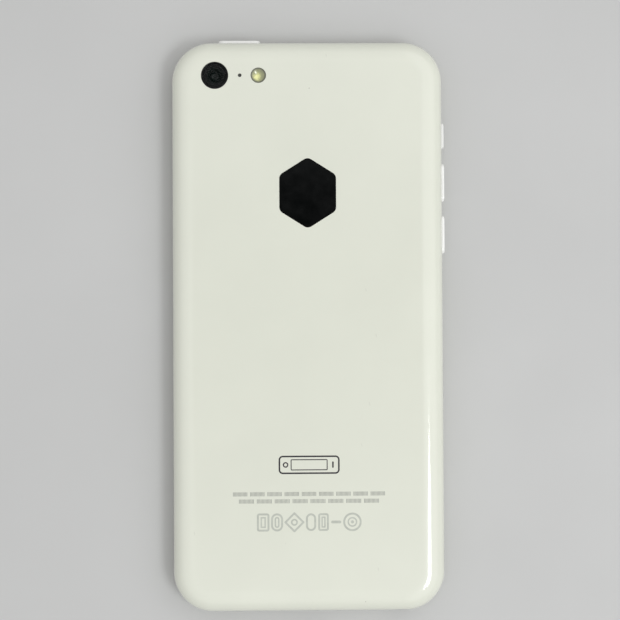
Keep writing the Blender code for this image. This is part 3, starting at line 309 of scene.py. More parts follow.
def shade(made, angle):
    """Smooth over gentle edges, with flat faces kept flat."""
    made.data.shade_smooth()
    made.data.set_sharp_from_angle(angle=math.radians(angle))
    modifier = made.modifiers.new("Normals", "WEIGHTED_NORMAL")
    modifier.keep_sharp = True
    settle(made)


def dress(made, slot, body="phone_body", stands_for=None, finish=None, angle=38.0):
    """Smooths a piece, gives it its finish and its body, and hides the CAD node that it stands for."""
    shade(made, angle)
    made.data.materials.clear()
    made.data.materials.append((finish or finishes[slot]).made)
    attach(made, body)
    if stands_for:
        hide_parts(stands_for)


def piece(name, slot, *shapes, **dressing):
    dress(solid(name, *shapes), slot, **dressing)


# ------------ finishes
class Finish:
    """A Principled material, with patterns laid out in the phone's frame."""

    def __init__(self, name, **sockets):
        self.made = bpy.data.materials.new(name)
        self.made.use_nodes = True
        self.tree = self.made.node_tree
        self.shader = self.tree.nodes["Principled BSDF"]
        for socket, value in sockets.items():
            self.shader.inputs[socket.replace("_", " ")].default_value = value
        self.normal = None

    def node(self, kind, inputs=(), **settings):
        """A node with its settings, and with its inputs linked to sockets or set to plain values."""
        made = self.tree.nodes.new(kind)
        for key, value in settings.items():
            setattr(made, key, value)
        for key, value in dict(inputs).items():
            if isinstance(value, bpy.types.NodeSocket):
                self.tree.links.new(value, made.inputs[key])
            else:
                made.inputs[key].default_value = value
        return made

    def here(self):
        return self.node("ShaderNodeTexCoord").outputs["Object"]

    def place(self, size, stretch=(1, 1, 1), turn=0.0, shift=(0, 0, 0)):
        """Object coordinates scaled so that one unit of a pattern is size millimetres."""
        coordinates = self.here()
        if turn:
            turning = {"Vector": coordinates, "Rotation": (0, 0, math.radians(turn))}
            coordinates = self.node("ShaderNodeMapping", turning).outputs[0]
        scaling = {"Vector": coordinates, "Scale": [1 / (MM * size * s) for s in stretch], "Location": shift}
        return self.node("ShaderNodeMapping", scaling).outputs[0]

    def noise(self, size, detail=3.0, rough=0.5, **placing):
        return self.node("ShaderNodeTexNoise", {"Vector": self.place(size, **placing), "Scale": 1.0,
                                                "Detail": detail, "Roughness": rough}).outputs["Fac"]

    def cells(self, size, feature="F1", **placing):
        return self.node("ShaderNodeTexVoronoi", {"Vector": self.place(size, **placing), "Scale": 1.0},
                         feature=feature).outputs["Distance"]

    def spread(self, value, low, high, start=0.3, end=0.7):
        """A value's range from start to end laid over low to high."""
        return self.node("ShaderNodeMapRange", {"Value": value, "From Min": start, "From Max": end,
                                                "To Min": low, "To Max": high}).outputs["Result"]

    def math(self, operation, *values):
        return self.node("ShaderNodeMath", dict(enumerate(values)), operation=operation).outputs[0]

    def ramp(self, value, *stops):
        """A colour ramp of (position, colour) stops."""
        made = self.node("ShaderNodeValToRGB", {"Fac": value})
        set_stops(made, stops)
        return made.outputs["Color"]

    def mix(self, factor, first, second):
        """Two colours mixed by a value."""
        first, second = ((*end, 1.0) if isinstance(end, tuple) else end for end in (first, second))
        return self.node("ShaderNodeMix", {0: factor, 6: first, 7: second}, data_type="RGBA").outputs[2]

    def drive(self, socket, value):
        self.tree.links.new(value, self.shader.inputs[socket])

    def bump(self, height, depth):
        """Adds relief of a depth in millimetres."""
        inputs = {"Height": height, "Distance": depth * MM, "Strength": 1.0}
        if self.normal is not None:
            inputs["Normal"] = self.normal
        self.normal = self.node("ShaderNodeBump", inputs).outputs[0]
        self.drive("Normal", self.normal)


def set_stops(ramp_node, stops):
    elements = ramp_node.color_ramp.elements
    while len(elements) < len(stops):
        elements.new(0.5)
    for element, (position, colour) in zip(elements, stops):
        element.position = position
        element.color = (*colour, 1.0)


def tone(colour, factor):
    return tuple(min(1.0, c * factor) for c in colour)


def mottled(name, dark, light, rough, colour_noise, rough_noise, **sockets):
    """A finish whose colour and roughness each run over a range, by a noise of (size, detail)."""
    finish = Finish(name, **sockets)
    finish.drive("Base Color", finish.ramp(finish.noise(*colour_noise), (0.3, dark), (0.7, light)))
    finish.drive("Roughness", finish.spread(finish.noise(*rough_noise), *rough))
    return finish


def gloss_plastic(name, colour, scuffs=1.0):
    """Glossy moulded plastic: faint mottling, smears in its gloss, hairline scratches and dust."""
    finish = Finish(name, Specular_IOR_Level=0.5, Coat_Weight=0.35, Coat_Roughness=0.04)
    mottle = finish.noise(14.0, 4.0)
    base = finish.ramp(mottle, (0.3, tone(colour, 0.985)), (0.7, tone(colour, 1.01)))
    dust = finish.spread(finish.cells(7.5, shift=(3.1, 1.7, 0.0)), 1.0, 0.0, 0.014, 0.022)
    lint = finish.spread(finish.cells(11.0, stretch=(0.35, 1.3, 1.0), turn=-12.0, shift=(0.4, 0.2, 0.0)),
                         1.0, 0.0, 0.02, 0.04)
    base = finish.mix(finish.math("MULTIPLY", dust, 0.5), base, (0.34, 0.32, 0.28))
    base = finish.mix(finish.math("MULTIPLY", lint, 0.16), base, (0.42, 0.41, 0.37))
    finish.drive("Base Color", base)
    smears = finish.noise(9.0, 5.0, 0.6, stretch=(1.0, 2.2, 1.0), turn=24.0)
    rough = finish.spread(smears, 0.09, 0.09 + 0.07 * scuffs)
    fine = finish.noise(0.5, 2.0, stretch=(1.0, 26.0, 26.0), turn=37.0)
    scratches = finish.spread(fine, 0.0, 0.05 * scuffs, 0.62, 0.72)
    finish.drive("Roughness", finish.math("ADD", rough, scratches))
    finish.bump(finish.noise(2.2, 2.0), 0.0035)
    return finish


def plain_plastic(name, colour, grain=0.25, rough=(0.34, 0.46), depth=0.006):
    """Matt moulded plastic with a fine spark-eroded grain. Light colours are more even than dark ones."""
    vary = 0.22 if max(colour) < 0.2 else 0.03
    finish = mottled(name, tone(colour, 1 - vary), tone(colour, 1 + vary), rough, (5.0,), (3.0, 4.0))
    finish.bump(finish.noise(grain, 2.0), depth)
    return finish


def brushed_metal(name, colour, rough=(0.22, 0.4), along=(30.0, 1.0, 1.0), size=0.12):
    """Rolled sheet metal with fine brush lines along one axis."""
    finish = Finish(name, Metallic=1.0)
    lines = finish.noise(size, 3.0, stretch=along)
    finish.drive("Base Color", finish.ramp(lines, (0.25, tone(colour, 0.82)), (0.75, tone(colour, 1.1))))
    finish.drive("Roughness", finish.spread(lines, *rough))
    finish.bump(lines, 0.003)
    return finish


def print_finish(name, colour, rough, gloss=0.5):
    """Ink printed on the shell, a little uneven in tone."""
    return mottled(name, tone(colour, 0.93), tone(colour, 1.07), (rough - 0.04, rough + 0.04), (1.2, 4.0),
                   (2.0,), Specular_IOR_Level=gloss)


def front_glass(name):
    """Glass over black print, and over the display a shade lighter and bluer."""
    glass = Finish(name, Coat_Weight=1.0, Coat_Roughness=0.02, IOR=1.5)
    split = glass.node("ShaderNodeSeparateXYZ", {"Vector": glass.here()})
    within = [glass.math("LESS_THAN", glass.math("ABSOLUTE", split.outputs[axis]), half * MM)
              for axis, half in zip("XY", DISPLAY_HALF)]
    tint = glass.noise(20.0)
    printed = glass.ramp(tint, (0.3, (0.0065, 0.0065, 0.0070)), (0.7, (0.0085, 0.0085, 0.0090)))
    display = glass.ramp(tint, (0.3, (0.013, 0.014, 0.017)), (0.7, (0.016, 0.017, 0.021)))
    glass.drive("Base Color", glass.mix(glass.math("MULTIPLY", *within), printed, display))
    smears = glass.noise(7.0, 5.0, 0.65, stretch=(1, 2.5, 1), turn=-30.0)
    glass.drive("Roughness", glass.spread(smears, 0.03, 0.12))
    return glass


def display_glass(name):
    return mottled(name, (0.012, 0.013, 0.017), (0.018, 0.018, 0.024), (0.12, 0.2), (8.0,), (0.3, 2.0),
                   Coat_Weight=0.6)


def lens_glass(name):
    # Near-black glass, with a faint green tint painted into its colour as the green reflection of lens
    # coatings.
    return mottled(name, (0.003, 0.005, 0.004), (0.005, 0.010, 0.008), (0.04, 0.08), (1.6, 1.0), (2.0,),
                   Specular_IOR_Level=0.12)


def woven_mesh(name):
    """A fine woven metal cloth, with painted shade in its holes."""
    mesh = Finish(name, Metallic=0.7)
    weave = mesh.node("ShaderNodeTexVoronoi", {"Vector": mesh.place(0.22), "Scale": 1.0, "Randomness": 0.0})
    hole_size = weave.outputs["Distance"]
    # Painted shade: the holes of the weave are near-black, for the shade that shows through open holes.
    mesh.drive("Base Color", mesh.ramp(hole_size, (0.3, (0.004, 0.004, 0.004)), (0.42, (0.10, 0.10, 0.10))))
    mesh.drive("Roughness", mesh.spread(mesh.noise(1.0), 0.4, 0.6))
    mesh.bump(mesh.spread(hole_size, 0.0, 1.0, 0.25, 0.5), 0.05)
    return mesh


def flash_plastic(name):
    """Yellow phosphor under clear plastic, brightest off its centre, and olive towards the rim."""
    flash = Finish(name, Coat_Weight=0.7, Coat_Roughness=0.12)
    here = flash.here()

    def far(x, y):
        """Distance from a point on the lens, in lens radii."""
        centre = Vector((FLASH.x + x, FLASH.y + y, 0.0)) * MM
        offset = flash.node("ShaderNodeVectorMath", {0: here, 1: centre}, operation="SUBTRACT").outputs[0]
        level = {0: offset, 1: (1.0, 1.0, 0.0)}
        flat = flash.node("ShaderNodeVectorMath", level, operation="MULTIPLY").outputs[0]
        length = flash.node("ShaderNodeVectorMath", {0: flat}, operation="LENGTH").outputs["Value"]
        return flash.math("DIVIDE", length, FLASH_RADIUS * MM)

    blotches = flash.spread(flash.noise(0.55, 3.0), -0.16, 0.16)
    bright = flash.math("ADD", far(-0.27, -0.26), blotches)
    glow = flash.ramp(bright, (0.0, (0.95, 0.93, 0.46)), (0.22, (0.88, 0.88, 0.39)),
                      (0.54, (0.42, 0.43, 0.22)), (1.0, (0.27, 0.28, 0.16)))
    rim = flash.spread(far(0.0, 0.0), 0.0, 1.0, 0.74, 0.98)
    flash.drive("Base Color", flash.mix(rim, glow, (0.13, 0.135, 0.10)))
    flash.drive("Roughness", flash.spread(flash.noise(0.5), 0.12, 0.25))
    return flash


def circuit_board(name):
    """A dark circuit board with raised tracks."""
    board = Finish(name)
    tracks = board.spread(board.cells(1.3, "DISTANCE_TO_EDGE"), 1.0, 0.0, 0.02, 0.06)
    board.drive("Base Color", board.mix(tracks, (0.012, 0.022, 0.024), (0.035, 0.055, 0.055)))
    board.drive("Roughness", board.spread(board.noise(2.0), 0.35, 0.5))
    board.bump(tracks, 0.01)
    return board


def battery_film(name):
    """The battery's wrinkled black film."""
    wrap = mottled(name, (0.02, 0.02, 0.022), (0.032, 0.032, 0.034), (0.28, 0.42), (10.0,), (3.0, 4.0))
    wrap.bump(wrap.noise(6.0, 3.0, stretch=(1.0, 3.0, 1.0)), 0.04)
    return wrap


def flexible_circuit(name):
    """Amber film with copper tracks side by side."""
    flex = Finish(name, Coat_Weight=0.3)
    wave = flex.node("ShaderNodeTexWave", {"Vector": flex.place(0.6), "Scale": 1.0, "Distortion": 0.3})
    tracks = wave.outputs["Fac"]
    flex.drive("Base Color", flex.ramp(tracks, (0.35, (0.10, 0.055, 0.018)), (0.6, (0.16, 0.09, 0.03))))
    flex.drive("Roughness", flex.spread(flex.noise(2.0), 0.3, 0.45))
    flex.bump(tracks, 0.005)
    return flex


# One finish for each material slot of the record.
RECIPES = {
    "shell_gloss_white": (gloss_plastic, (0.79, 0.805, 0.705)),
    # The buttons' plastic is whiter than the shell's, and its colour is raised further to near-white as a
    # painted highlight for their bright rounded edges.
    "button_gloss_white": (gloss_plastic, (0.96, 0.96, 0.94), 0.6),
    "black_plastic": (plain_plastic, (0.018, 0.018, 0.02)),
    "black_rubber": (plain_plastic, (0.02, 0.02, 0.02), 0.4, (0.7, 0.85), 0.01),
    "chip_black": (plain_plastic, (0.03, 0.03, 0.032), 0.12, (0.45, 0.6), 0.004),
    "sensor_violet": (plain_plastic, (0.05, 0.03, 0.07), 0.8, (0.15, 0.25), 0.001),
    "sim_card_white": (plain_plastic, (0.72, 0.72, 0.71), 0.5, (0.35, 0.5), 0.002),
    "adhesive_white": (plain_plastic, (0.68, 0.68, 0.65), 0.9, (0.6, 0.8), 0.02),
    "led_phosphor": (plain_plastic, (0.85, 0.7, 0.16), 0.06, (0.5, 0.7), 0.006),
    "stainless_steel": (brushed_metal, (0.58, 0.57, 0.55)),
    "dark_metal": (brushed_metal, (0.07, 0.07, 0.075), (0.2, 0.34)),
    "screw_steel": (brushed_metal, (0.62, 0.61, 0.59), (0.2, 0.35), (1.0, 1.0, 6.0), 0.08),
    "contact_gold": (brushed_metal, (0.83, 0.62, 0.28), (0.18, 0.32)),
    "front_glass_black": (front_glass,),
    "display_black": (display_glass,),
    "acoustic_mesh": (woven_mesh,),
    "lens_glass": (lens_glass,),
    "flash_lens_clear": (flash_plastic,),
    "board_black": (circuit_board,),
    "battery_wrap": (battery_film,),
    "flex_film": (flexible_circuit,),
}
finishes = {name: make(name, *values) for name, (make, *values) in RECIPES.items()}


# ------------ the shell
def rounding(step):
    """(inset, height) of the outer surface on a step from the side wall to the flat back."""
    angle = math.pi / 2 * step / ROUND_STEPS
    across = math.cos(angle) ** (2 / ROUND_POWER)
    up = math.sin(angle) ** (2 / ROUND_POWER)
    return ROUND_WIDTH * (1 - across), THICKNESS - ROUND_HEIGHT + ROUND_HEIGHT * up


def skin(z):
    """How far the outer surface is inside the phone's outline at a height."""
    up = max(0.0, (z - (THICKNESS - ROUND_HEIGHT)) / ROUND_HEIGHT)
    return ROUND_WIDTH * (1 - (1 - up ** ROUND_POWER) ** (1 / ROUND_POWER))


def hug(shape, facing, gap):
    """Moves the points that stand out of the shell's side, or of its end, to a gap under its surface."""
    for vert in shape.verts:
        x, y, z = vert.co
        if facing == "X":
            reach = HALF_WIDTH - skin(z) - gap
            vert.co.x = max(-reach, min(reach, x))
            continue
        across = max(0.0, abs(x) - (HALF_WIDTH - CORNER_RADIUS))
        reach = HALF_LENGTH - CORNER_RADIUS + math.sqrt((CORNER_RADIUS - skin(z)) ** 2 - across ** 2) - gap
        vert.co.y = max(-reach, min(reach, y))
    return shape


def outline_side(x, y):
    """How far a point is inside the phone's outline, and the outline's outward direction there."""
    across = abs(x) - (HALF_WIDTH - CORNER_RADIUS)
    along = abs(y) - (HALF_LENGTH - CORNER_RADIUS)
    if across > 0 and along > 0:
        reach = math.hypot(across, along)
        return CORNER_RADIUS - reach, Vector((math.copysign(across, x), math.copysign(along, y))) / reach
    if across > along:
        return CORNER_RADIUS - across, Vector((math.copysign(1.0, x), 0.0))
    return CORNER_RADIUS - along, Vector((0.0, math.copysign(1.0, y)))


def true_normal(point):
    """The outer surface's normal next to a point in millimetres, and how far off the surface the point is."""
    inset, outward = outline_side(point.x, point.y)
    across = max(0.0, (ROUND_WIDTH - inset) / ROUND_WIDTH)
    up = max(0.0, (point.z - (THICKNESS - ROUND_HEIGHT)) / ROUND_HEIGHT)
    level = across ** ROUND_POWER + up ** ROUND_POWER
    slope_out = across ** (ROUND_POWER - 1) / ROUND_WIDTH
    slope_up = up ** (ROUND_POWER - 1) / ROUND_HEIGHT
    length = math.hypot(slope_out, slope_up)
    normal = Vector((*(outward * (slope_out / length)), slope_up / length))
    return normal, abs(level - 1) / (length * ROUND_POWER)


def polish(shell):
    """Sets the outer surface's exact normals, so that highlights run over its edges without facets."""
    mesh = shell.data
    normals = [Vector(corner.vector) for corner in mesh.corner_normals]
    for polygon in mesh.polygons:
        centre = polygon.center / MM
        if centre.z < RIM_Z + RIM_FILLET:
            continue
        normal, off = true_normal(centre)
        if off > 0.08 or normal.dot(polygon.normal) < 0.93:
            continue
        for loop in polygon.loop_indices:
            point = mesh.vertices[mesh.loops[loop].vertex_index].co / MM
            normals[loop] = true_normal(point)[0]
    mesh.normals_split_custom_set(normals)


def hole(outline_at, face, gap=SLOT_GAP, fillet=SLOT_FILLET, depth=HOLE_DEPTH):
    """A cutter with a rounded mouth. Its face is the axis that it faces and a place along that axis."""
    facing, surface = face
    return mouth(outline_at, surface - math.copysign(depth, surface), surface, gap, fillet, facing)


def shell_holes():
    right, left, back = ("X", HALF_WIDTH), ("X", -HALF_WIDTH), ("Z", THICKNESS)
    top_end, bottom_end = ("Y", HALF_LENGTH), ("Y", -HALF_LENGTH)
    tray_low, tray_high = box_mm("sim_tray")
    tray_size = (tray_high.y - tray_low.y, tray_high.z - tray_low.z)
    ring_size = (RING_LENGTH / 2, (RING_HEIGHT + RING_TRAVEL) / 2, RING_HEIGHT / 2)
    cutters = [
        hole(pill_at(VOLUME_LENGTH, BUTTON_HEIGHT, on_side("volume_up_button")), right),
        hole(pill_at(VOLUME_LENGTH, BUTTON_HEIGHT, on_side("volume_down_button")), right),
        hole(box_at(*ring_size, on_side("ring_switch")), right),
        hole(pill_at(POWER_LENGTH, BUTTON_HEIGHT, on_end("power_button")), top_end),
        hole(pill_at(*tray_size, ((tray_low.y + tray_high.y) / 2, EDGE_Z)), left, fillet=0.08),
        hole(pill_at(*DOCK_SIZE, (0.0, EDGE_Z)), bottom_end),
        hole(circle_at(JACK_NOSE_RADIUS, on_end("headphone_socket")), bottom_end),
        hole(circle_at(BOTTOM_MIC_RADIUS, on_end("bottom_microphone"), 24), bottom_end, 0.0, 0.08)]
    for x in SPEAKER_HOLES_X:
        cutters.append(hole(pill_at(*SPEAKER_HOLE, (x, EDGE_Z), 8), bottom_end, 0.0, 0.1))
    head_radius, head_depth = SCREW_HEAD_HOLE
    for node in BOTTOM_SCREWS:
        cutters.append(hole(circle_at(head_radius, on_end(node), 32), bottom_end, 0.0, 0.1, head_depth))
        cutters.append(prism(circle(SCREW_SHANK_HOLE_RADIUS, on_end(node), 24), HOLE_DEPTH - HALF_LENGTH,
                             head_depth + 0.01 - HALF_LENGTH, "Y"))
    cutters.append(hole(circle_at(CAMERA_RADIUS, CAMERA.xy, 96), back, 0.05, 0.1))
    cutters.append(hole(circle_at(FLASH_RADIUS, FLASH.xy), back, 0.06, 0.06))
    cutters.append(hole(circle_at(REAR_MIC_RADIUS, REAR_MIC.xy, 32), back, 0.0, 0.06))
    return cutters


def make_shell():
    outside = [(phone_at(inset), RIM_Z + RIM_FILLET - rise) for inset, rise in reversed(arc(RIM_FILLET, 6))]
    outside += [(phone_at(inset), z) for inset, z in map(rounding, range(ROUND_STEPS + 1))]
    inside = [(phone_at(SHELL_WALL), RIM_Z), (phone_at(SHELL_WALL), VAULT_Z)]
    for step in range(1, VAULT_STEPS + 1):
        angle = math.pi / 2 * step / VAULT_STEPS
        inside.append((phone_at(SHELL_WALL + VAULT_REACH * (1 - math.cos(angle))),
                       VAULT_Z + (THICKNESS - SHELL_WALL - VAULT_Z) * math.sin(angle)))
    shell = solid("shell_outer", loft(inside[::-1] + outside))
    carve(shell, *shell_holes())
    dress(shell, "shell_gloss_white", stands_for="rear_shell", angle=40.0)
    polish(shell)


# ------------ camera, flash, microphone
def camera_part(name, slot, profile, **dressing):
    piece(name, slot, turned(profile, CAMERA.xy, sides=96), **dressing)


def make_camera_ring():
    rim = brushed_metal("camera_ring_black", (0.022, 0.022, 0.023), (0.25, 0.36))
    top, seat_radius, seat_z = THICKNESS - 0.02, 3.3, 7.7
    profile = [(CAMERA_INNER, 7.4), (seat_radius, 7.4), (seat_radius, seat_z), (CAMERA_RADIUS, seat_z),
               (CAMERA_RADIUS, top - 0.08), (CAMERA_RADIUS - 0.03, top - 0.02), (CAMERA_RADIUS - 0.08, top),
               (CAMERA_INNER + 0.06, top), (CAMERA_INNER + 0.02, top - 0.02), (CAMERA_INNER, top - 0.08)]
    camera_part("camera_ring", "dark_metal", profile, stands_for="camera_trim_ring", finish=rim)


def make_camera_window():
    """A thin dark pane, and the mask printed on its underside."""
    clear = mottled("camera_window_clear", (0.006, 0.009, 0.008), (0.010, 0.014, 0.012), (0.01, 0.04), (4.0,),
                    (3.0,), Alpha=0.12)
    low, top = 8.45, 8.9
    profile = [(0, low), (WINDOW_RADIUS, low), (WINDOW_RADIUS, top - 0.05), (WINDOW_RADIUS - 0.05, top),
               (0, top)]
    camera_part("camera_window_glass", "lens_glass", profile, stands_for="camera_window", finish=clear)

    mask_ink = mottled("camera_mask_ink", (0.0035, 0.0035, 0.0035), (0.006, 0.006, 0.006), (0.4, 0.55),
                       (1.5,), (0.8,), Specular_IOR_Level=0.15)
    low, top = 8.25, 8.43
    profile = [(WINDOW_RADIUS, low), (WINDOW_RADIUS, top), (1.98, top), (1.9, top - 0.04), (1.84, low)]
    camera_part("camera_mask", "black_plastic", profile, finish=mask_ink)


def make_camera_lens():
    """The lens barrel steps down to a front element that is hollow in the middle and domed round it."""
    element_radius = 1.22
    seat = element_radius + 0.02
    barrel = [(0, 4.6), (2.3, 4.6), (2.3, 7.55), (2.15, 7.7), (1.86, 7.7), (1.8, 7.64), (1.62, 7.64),
              (1.57, 7.58), (1.4, 7.58), (1.35, 7.5), (seat, 7.5), (seat, 6.7), (0, 6.7)]
    camera_part("camera_lens_barrel", "lens_glass", barrel, body="focus_lens", stands_for="rear_camera_lens",
                angle=50)

    # Near-black, with a green tint painted into its colour as the coating's reflection; its real reflection
    # comes from the specular level.
    coat_and_painted_sheen = mottled("camera_lens_coated", (0.002, 0.005, 0.004), (0.003, 0.010, 0.007), (0.02, 0.05), (1.2,),
                     (2.0,), Specular_IOR_Level=0.22)
    crest_z, crest_radius, slope, bend = 7.42, 0.56, 0.25, 0.55
    hollow_bend = 0.5
    dome = [(r, crest_z - bend * (r - crest_radius + slope) ** 2 + bend * slope ** 2)
            for r in (element_radius, 1.12, 1.02, 0.92, 0.83, 0.75, 0.68, 0.62)]
    hollow = [(r, crest_z - hollow_bend * (crest_radius ** 2 - r ** 2))
              for r in (0.53, 0.48, 0.42, 0.36, 0.3, 0.2, 0.1, 0.0)]
    element = [(0, 6.75), (element_radius, 6.75), *dome, *hollow]
    camera_part("camera_lens_element", "lens_glass", element, body="focus_lens", finish=coat_and_painted_sheen, angle=60)


def make_flash():
    """A flash lens whose face is hollow and ringed with fine steps."""
    edge, rings, dip = FLASH_RADIUS - 0.07, 6, 0.34
    pitch = edge / (rings + 0.5)

    def face(radius):
        return THICKNESS - 0.09 - dip * (1 - (radius / edge) ** 2)

    foot_radius, foot_low, foot_top = 2.1, 7.42, 7.8
    profile = [(0, foot_low), (foot_radius, foot_low), (foot_radius, foot_top), (FLASH_RADIUS, foot_top),
               (FLASH_RADIUS, THICKNESS - 0.13), (FLASH_RADIUS - 0.04, THICKNESS - 0.07)]
    for ring in range(rings):
        radius = edge - pitch * ring
        profile += [(radius, face(radius)), (radius - pitch * 0.25, face(radius - pitch * 0.25) - 0.022)]
    profile += [(pitch * 0.4, face(pitch * 0.4)), (0, face(0))]
    piece("flash_dome", "flash_lens_clear", turned(profile, FLASH.xy, sides=72), stands_for="flash_lens",
          angle=50)


def make_rear_microphone():
    radius = REAR_MIC_RADIUS - 0.02
    profile = [(0, 8.1), (radius, 8.1), (radius, 8.5), (0, 8.52)]
    piece("rear_microphone_mesh", "acoustic_mesh", turned(profile, REAR_MIC.xy, sides=32))


# ------------ edge buttons
def button_cap(name, length, centre, facing, edge):
    """A pill-shaped button with a rounded face, and its retaining flange behind the wall."""
    flange = edge - FLANGE_OUT
    cap_at = pill_at(length, BUTTON_HEIGHT, centre)
    flange_at = pill_at(length + 2 * FLANGE_MARGIN, BUTTON_HEIGHT + FLANGE_MARGIN, centre)
    made = solid(name, cap_solid(cap_at, flange - 0.1, edge + BUTTON_PROUD, 0.38, facing, 8))
    boolean(made, "UNION", prism(flange_at(0.0), flange - FLANGE_THICK, flange, facing))
    return made


def make_volume_buttons():
    """Two buttons with a plus and a minus sign sunk into their faces."""
    sunk, stroke, reach = 0.08, 0.24, 1.3
    face = HALF_WIDTH + BUTTON_PROUD
    cut = (face - sunk, face + 0.2, 0.02, "X")
    for node, body, is_plus in (("volume_up_button", "volume_up_key", True),
                                ("volume_down_button", "volume_down_key", False)):
        centre = on_side(node)
        cap = button_cap(f"{node}_cap", VOLUME_LENGTH, centre, "X", HALF_WIDTH)
        carve(cap, cap_solid(pill_at(reach, stroke, centre), *cut))
        if is_plus:
            carve(cap, cap_solid(box_at(stroke / 2, reach / 2, stroke / 2, centre, 12), *cut))
        dress(cap, "button_gloss_white", body, node)


def make_power_button():
    cap = button_cap("power_button_cap", POWER_LENGTH, on_end("power_button"), "Y", HALF_LENGTH)
    dress(cap, "button_gloss_white", "power_key", "power_button")


def groove(y, z, face):
    """A shallow trough along the ring switch's face, as a round bar that dips into it."""
    radius, rise, end = 1.1, 0.93, 1.75
    return turned([(0, y - end), (radius - 0.2, y - end), (radius, y - end + 0.2), (radius, y + end - 0.2),
                   (radius - 0.2, y + end), (0, y + end)], (face + rise, z), "Y")


def make_ring_switch():
    """A slider with a finger groove, its flange, and an orange marker that shows once it has slid."""
    ring = middle("ring_switch")
    face = HALF_WIDTH + BUTTON_PROUD
    plate = HALF_WIDTH - FLANGE_OUT
    cap = solid("ring_switch_cap", cap_solid(box_at(RING_LENGTH / 2, RING_HEIGHT / 2, 0.62, (ring.y, ring.z)),
                                             plate - 0.1, face - 0.05, 0.22, "X", 7))
    carve(cap, groove(ring.y, ring.z, face))
    flange = rounded_outline(3.2, 1.35, 0.8, 10, (ring.y, ring.z - 0.25))
    boolean(cap, "UNION", prism(flange, plate - FLANGE_THICK, plate, "X"))
    dress(cap, "button_gloss_white", "ring_slider", "ring_switch")
    orange = mottled("switch_marker_orange", (0.75, 0.17, 0.02), (0.82, 0.20, 0.03), (0.35, 0.5), (1.0,),
                     (0.6,), Coat_Weight=0.2)
    marker = block((plate, plate + 0.04), (ring.y - 2.3, ring.y + 2.3),
                   (ring.z - 1.55, ring.z - RING_HEIGHT / 2 - 0.02))
    piece("ring_switch_marker", None, marker, body="ring_slider", finish=orange)


# ------------ SIM tray
def make_sim_tray():
    """A curved front plate with a pin hole, and a flat body with a pocket for the card."""
    low, high = box_mm("sim_tray")
    front_at = pill_at(high.y - low.y, 2.5, ((low.y + high.y) / 2, EDGE_Z))
    front = [(front_at(0.0), TRAY_PLATE_X)]
    front += [(front_at(inset), low.x + 0.07 - rise) for inset, rise in arc(0.07, 4)]
    front += [(front_at(inset), low.x) for inset in (0.3, 0.55, 0.8, 1.05, 1.2)]
    tray = solid("sim_tray_drawer", hug(loft(front, "X"), "X", 0.02))
    body_at = box_at((high.x - TRAY_BODY_X) / 2, (TRAY_BODY_Y[1] - TRAY_BODY_Y[0]) / 2, 0.3,
                     ((high.x + TRAY_BODY_X) / 2, sum(TRAY_BODY_Y) / 2), 4)
    boolean(tray, "UNION", cap_solid(body_at, *TRAY_BODY_Z, 0.06, "Z", 3, both=True))

    card_low, card_high = box_mm("sim_card")
    pocket_z, play, ledge = TRAY_BODY_Z[0] + 0.12, 0.08, 1.2
    pin_hole = circle_at(EJECT_HOLE_RADIUS, (EJECT_HOLE_Y, EDGE_Z), 32)

    def card_block(grow, z_range):
        return block((card_low.x - grow, card_high.x + grow), (card_low.y - grow, card_high.y + grow),
                     z_range)

    carve(tray, card_block(play, (pocket_z, 6.0)), mouth(pin_hole, -27.0, low.x, 0.0, 0.06, "X"))
    carve(tray, card_block(-ledge, (3.0, pocket_z + 0.1)),
          block((high.x - 0.35, high.x + 1.0), (4.4, 7.2), (3.0, 6.0)))
    dress(tray, "button_gloss_white", "card_drawer", "sim_tray")


# ------------ front panel
def make_front_glass():
    ear = middle("earpiece_mesh").xy
    pane = cap_solid(lambda inset: phone_at(GLASS_INSET + inset), GLASS_BACK_Z, 0.0, 0.2, "Z", 6)
    glass = solid("front_glass", pane)
    carve(glass,
          mouth(circle_at(HOME_RADIUS, HOME.xy, 96), 2.0, 0.0, 0.15, 0.12, "Z"),
          mouth(pill_at(11.0, 1.5, ear), 2.0, 0.0, 0.0, 0.12, "Z"),
          mouth(circle_at(FRONT_CAMERA_RADIUS, FRONT_CAMERA.xy, 48), 2.0, 0.0, 0.01, 0.01, "Z"))
    dress(glass, "front_glass_black", stands_for="cover_glass")
    pupil = [(0, 0.01), (0.42, 0.01), (0.44, 0.05), (0.62, 0.05), (0.64, 0.01), (FRONT_CAMERA_RADIUS, 0.01),
             (FRONT_CAMERA_RADIUS, 0.8), (0, 0.8)]
    piece("front_camera_window", "lens_glass", turned(pupil, FRONT_CAMERA.xy, sides=48))


def make_bezel():
    """The plastic frame behind the glass's edge, cut back round the home button."""
    face, ledge, back = 0.3, 0.96, 2.0
    rings = [(phone_at(BEZEL_INSET), back)]
    rings += [(phone_at(BEZEL_INSET + inset), face + 0.1 - rise) for inset, rise in arc(0.1, 3)]
    rings += [(phone_at(inset), z) for inset, z in ((1.5, face), (1.5, ledge), (3.0, ledge), (3.0, back))]
    bezel = solid("bezel_frame", loft(rings, closed=True))
    carve(bezel, turned([(0, 0.86), (6.35, 0.86), (6.35, 3.0), (0, 3.0)], HOME.xy))
    dress(bezel, "black_plastic", stands_for="display_bezel")


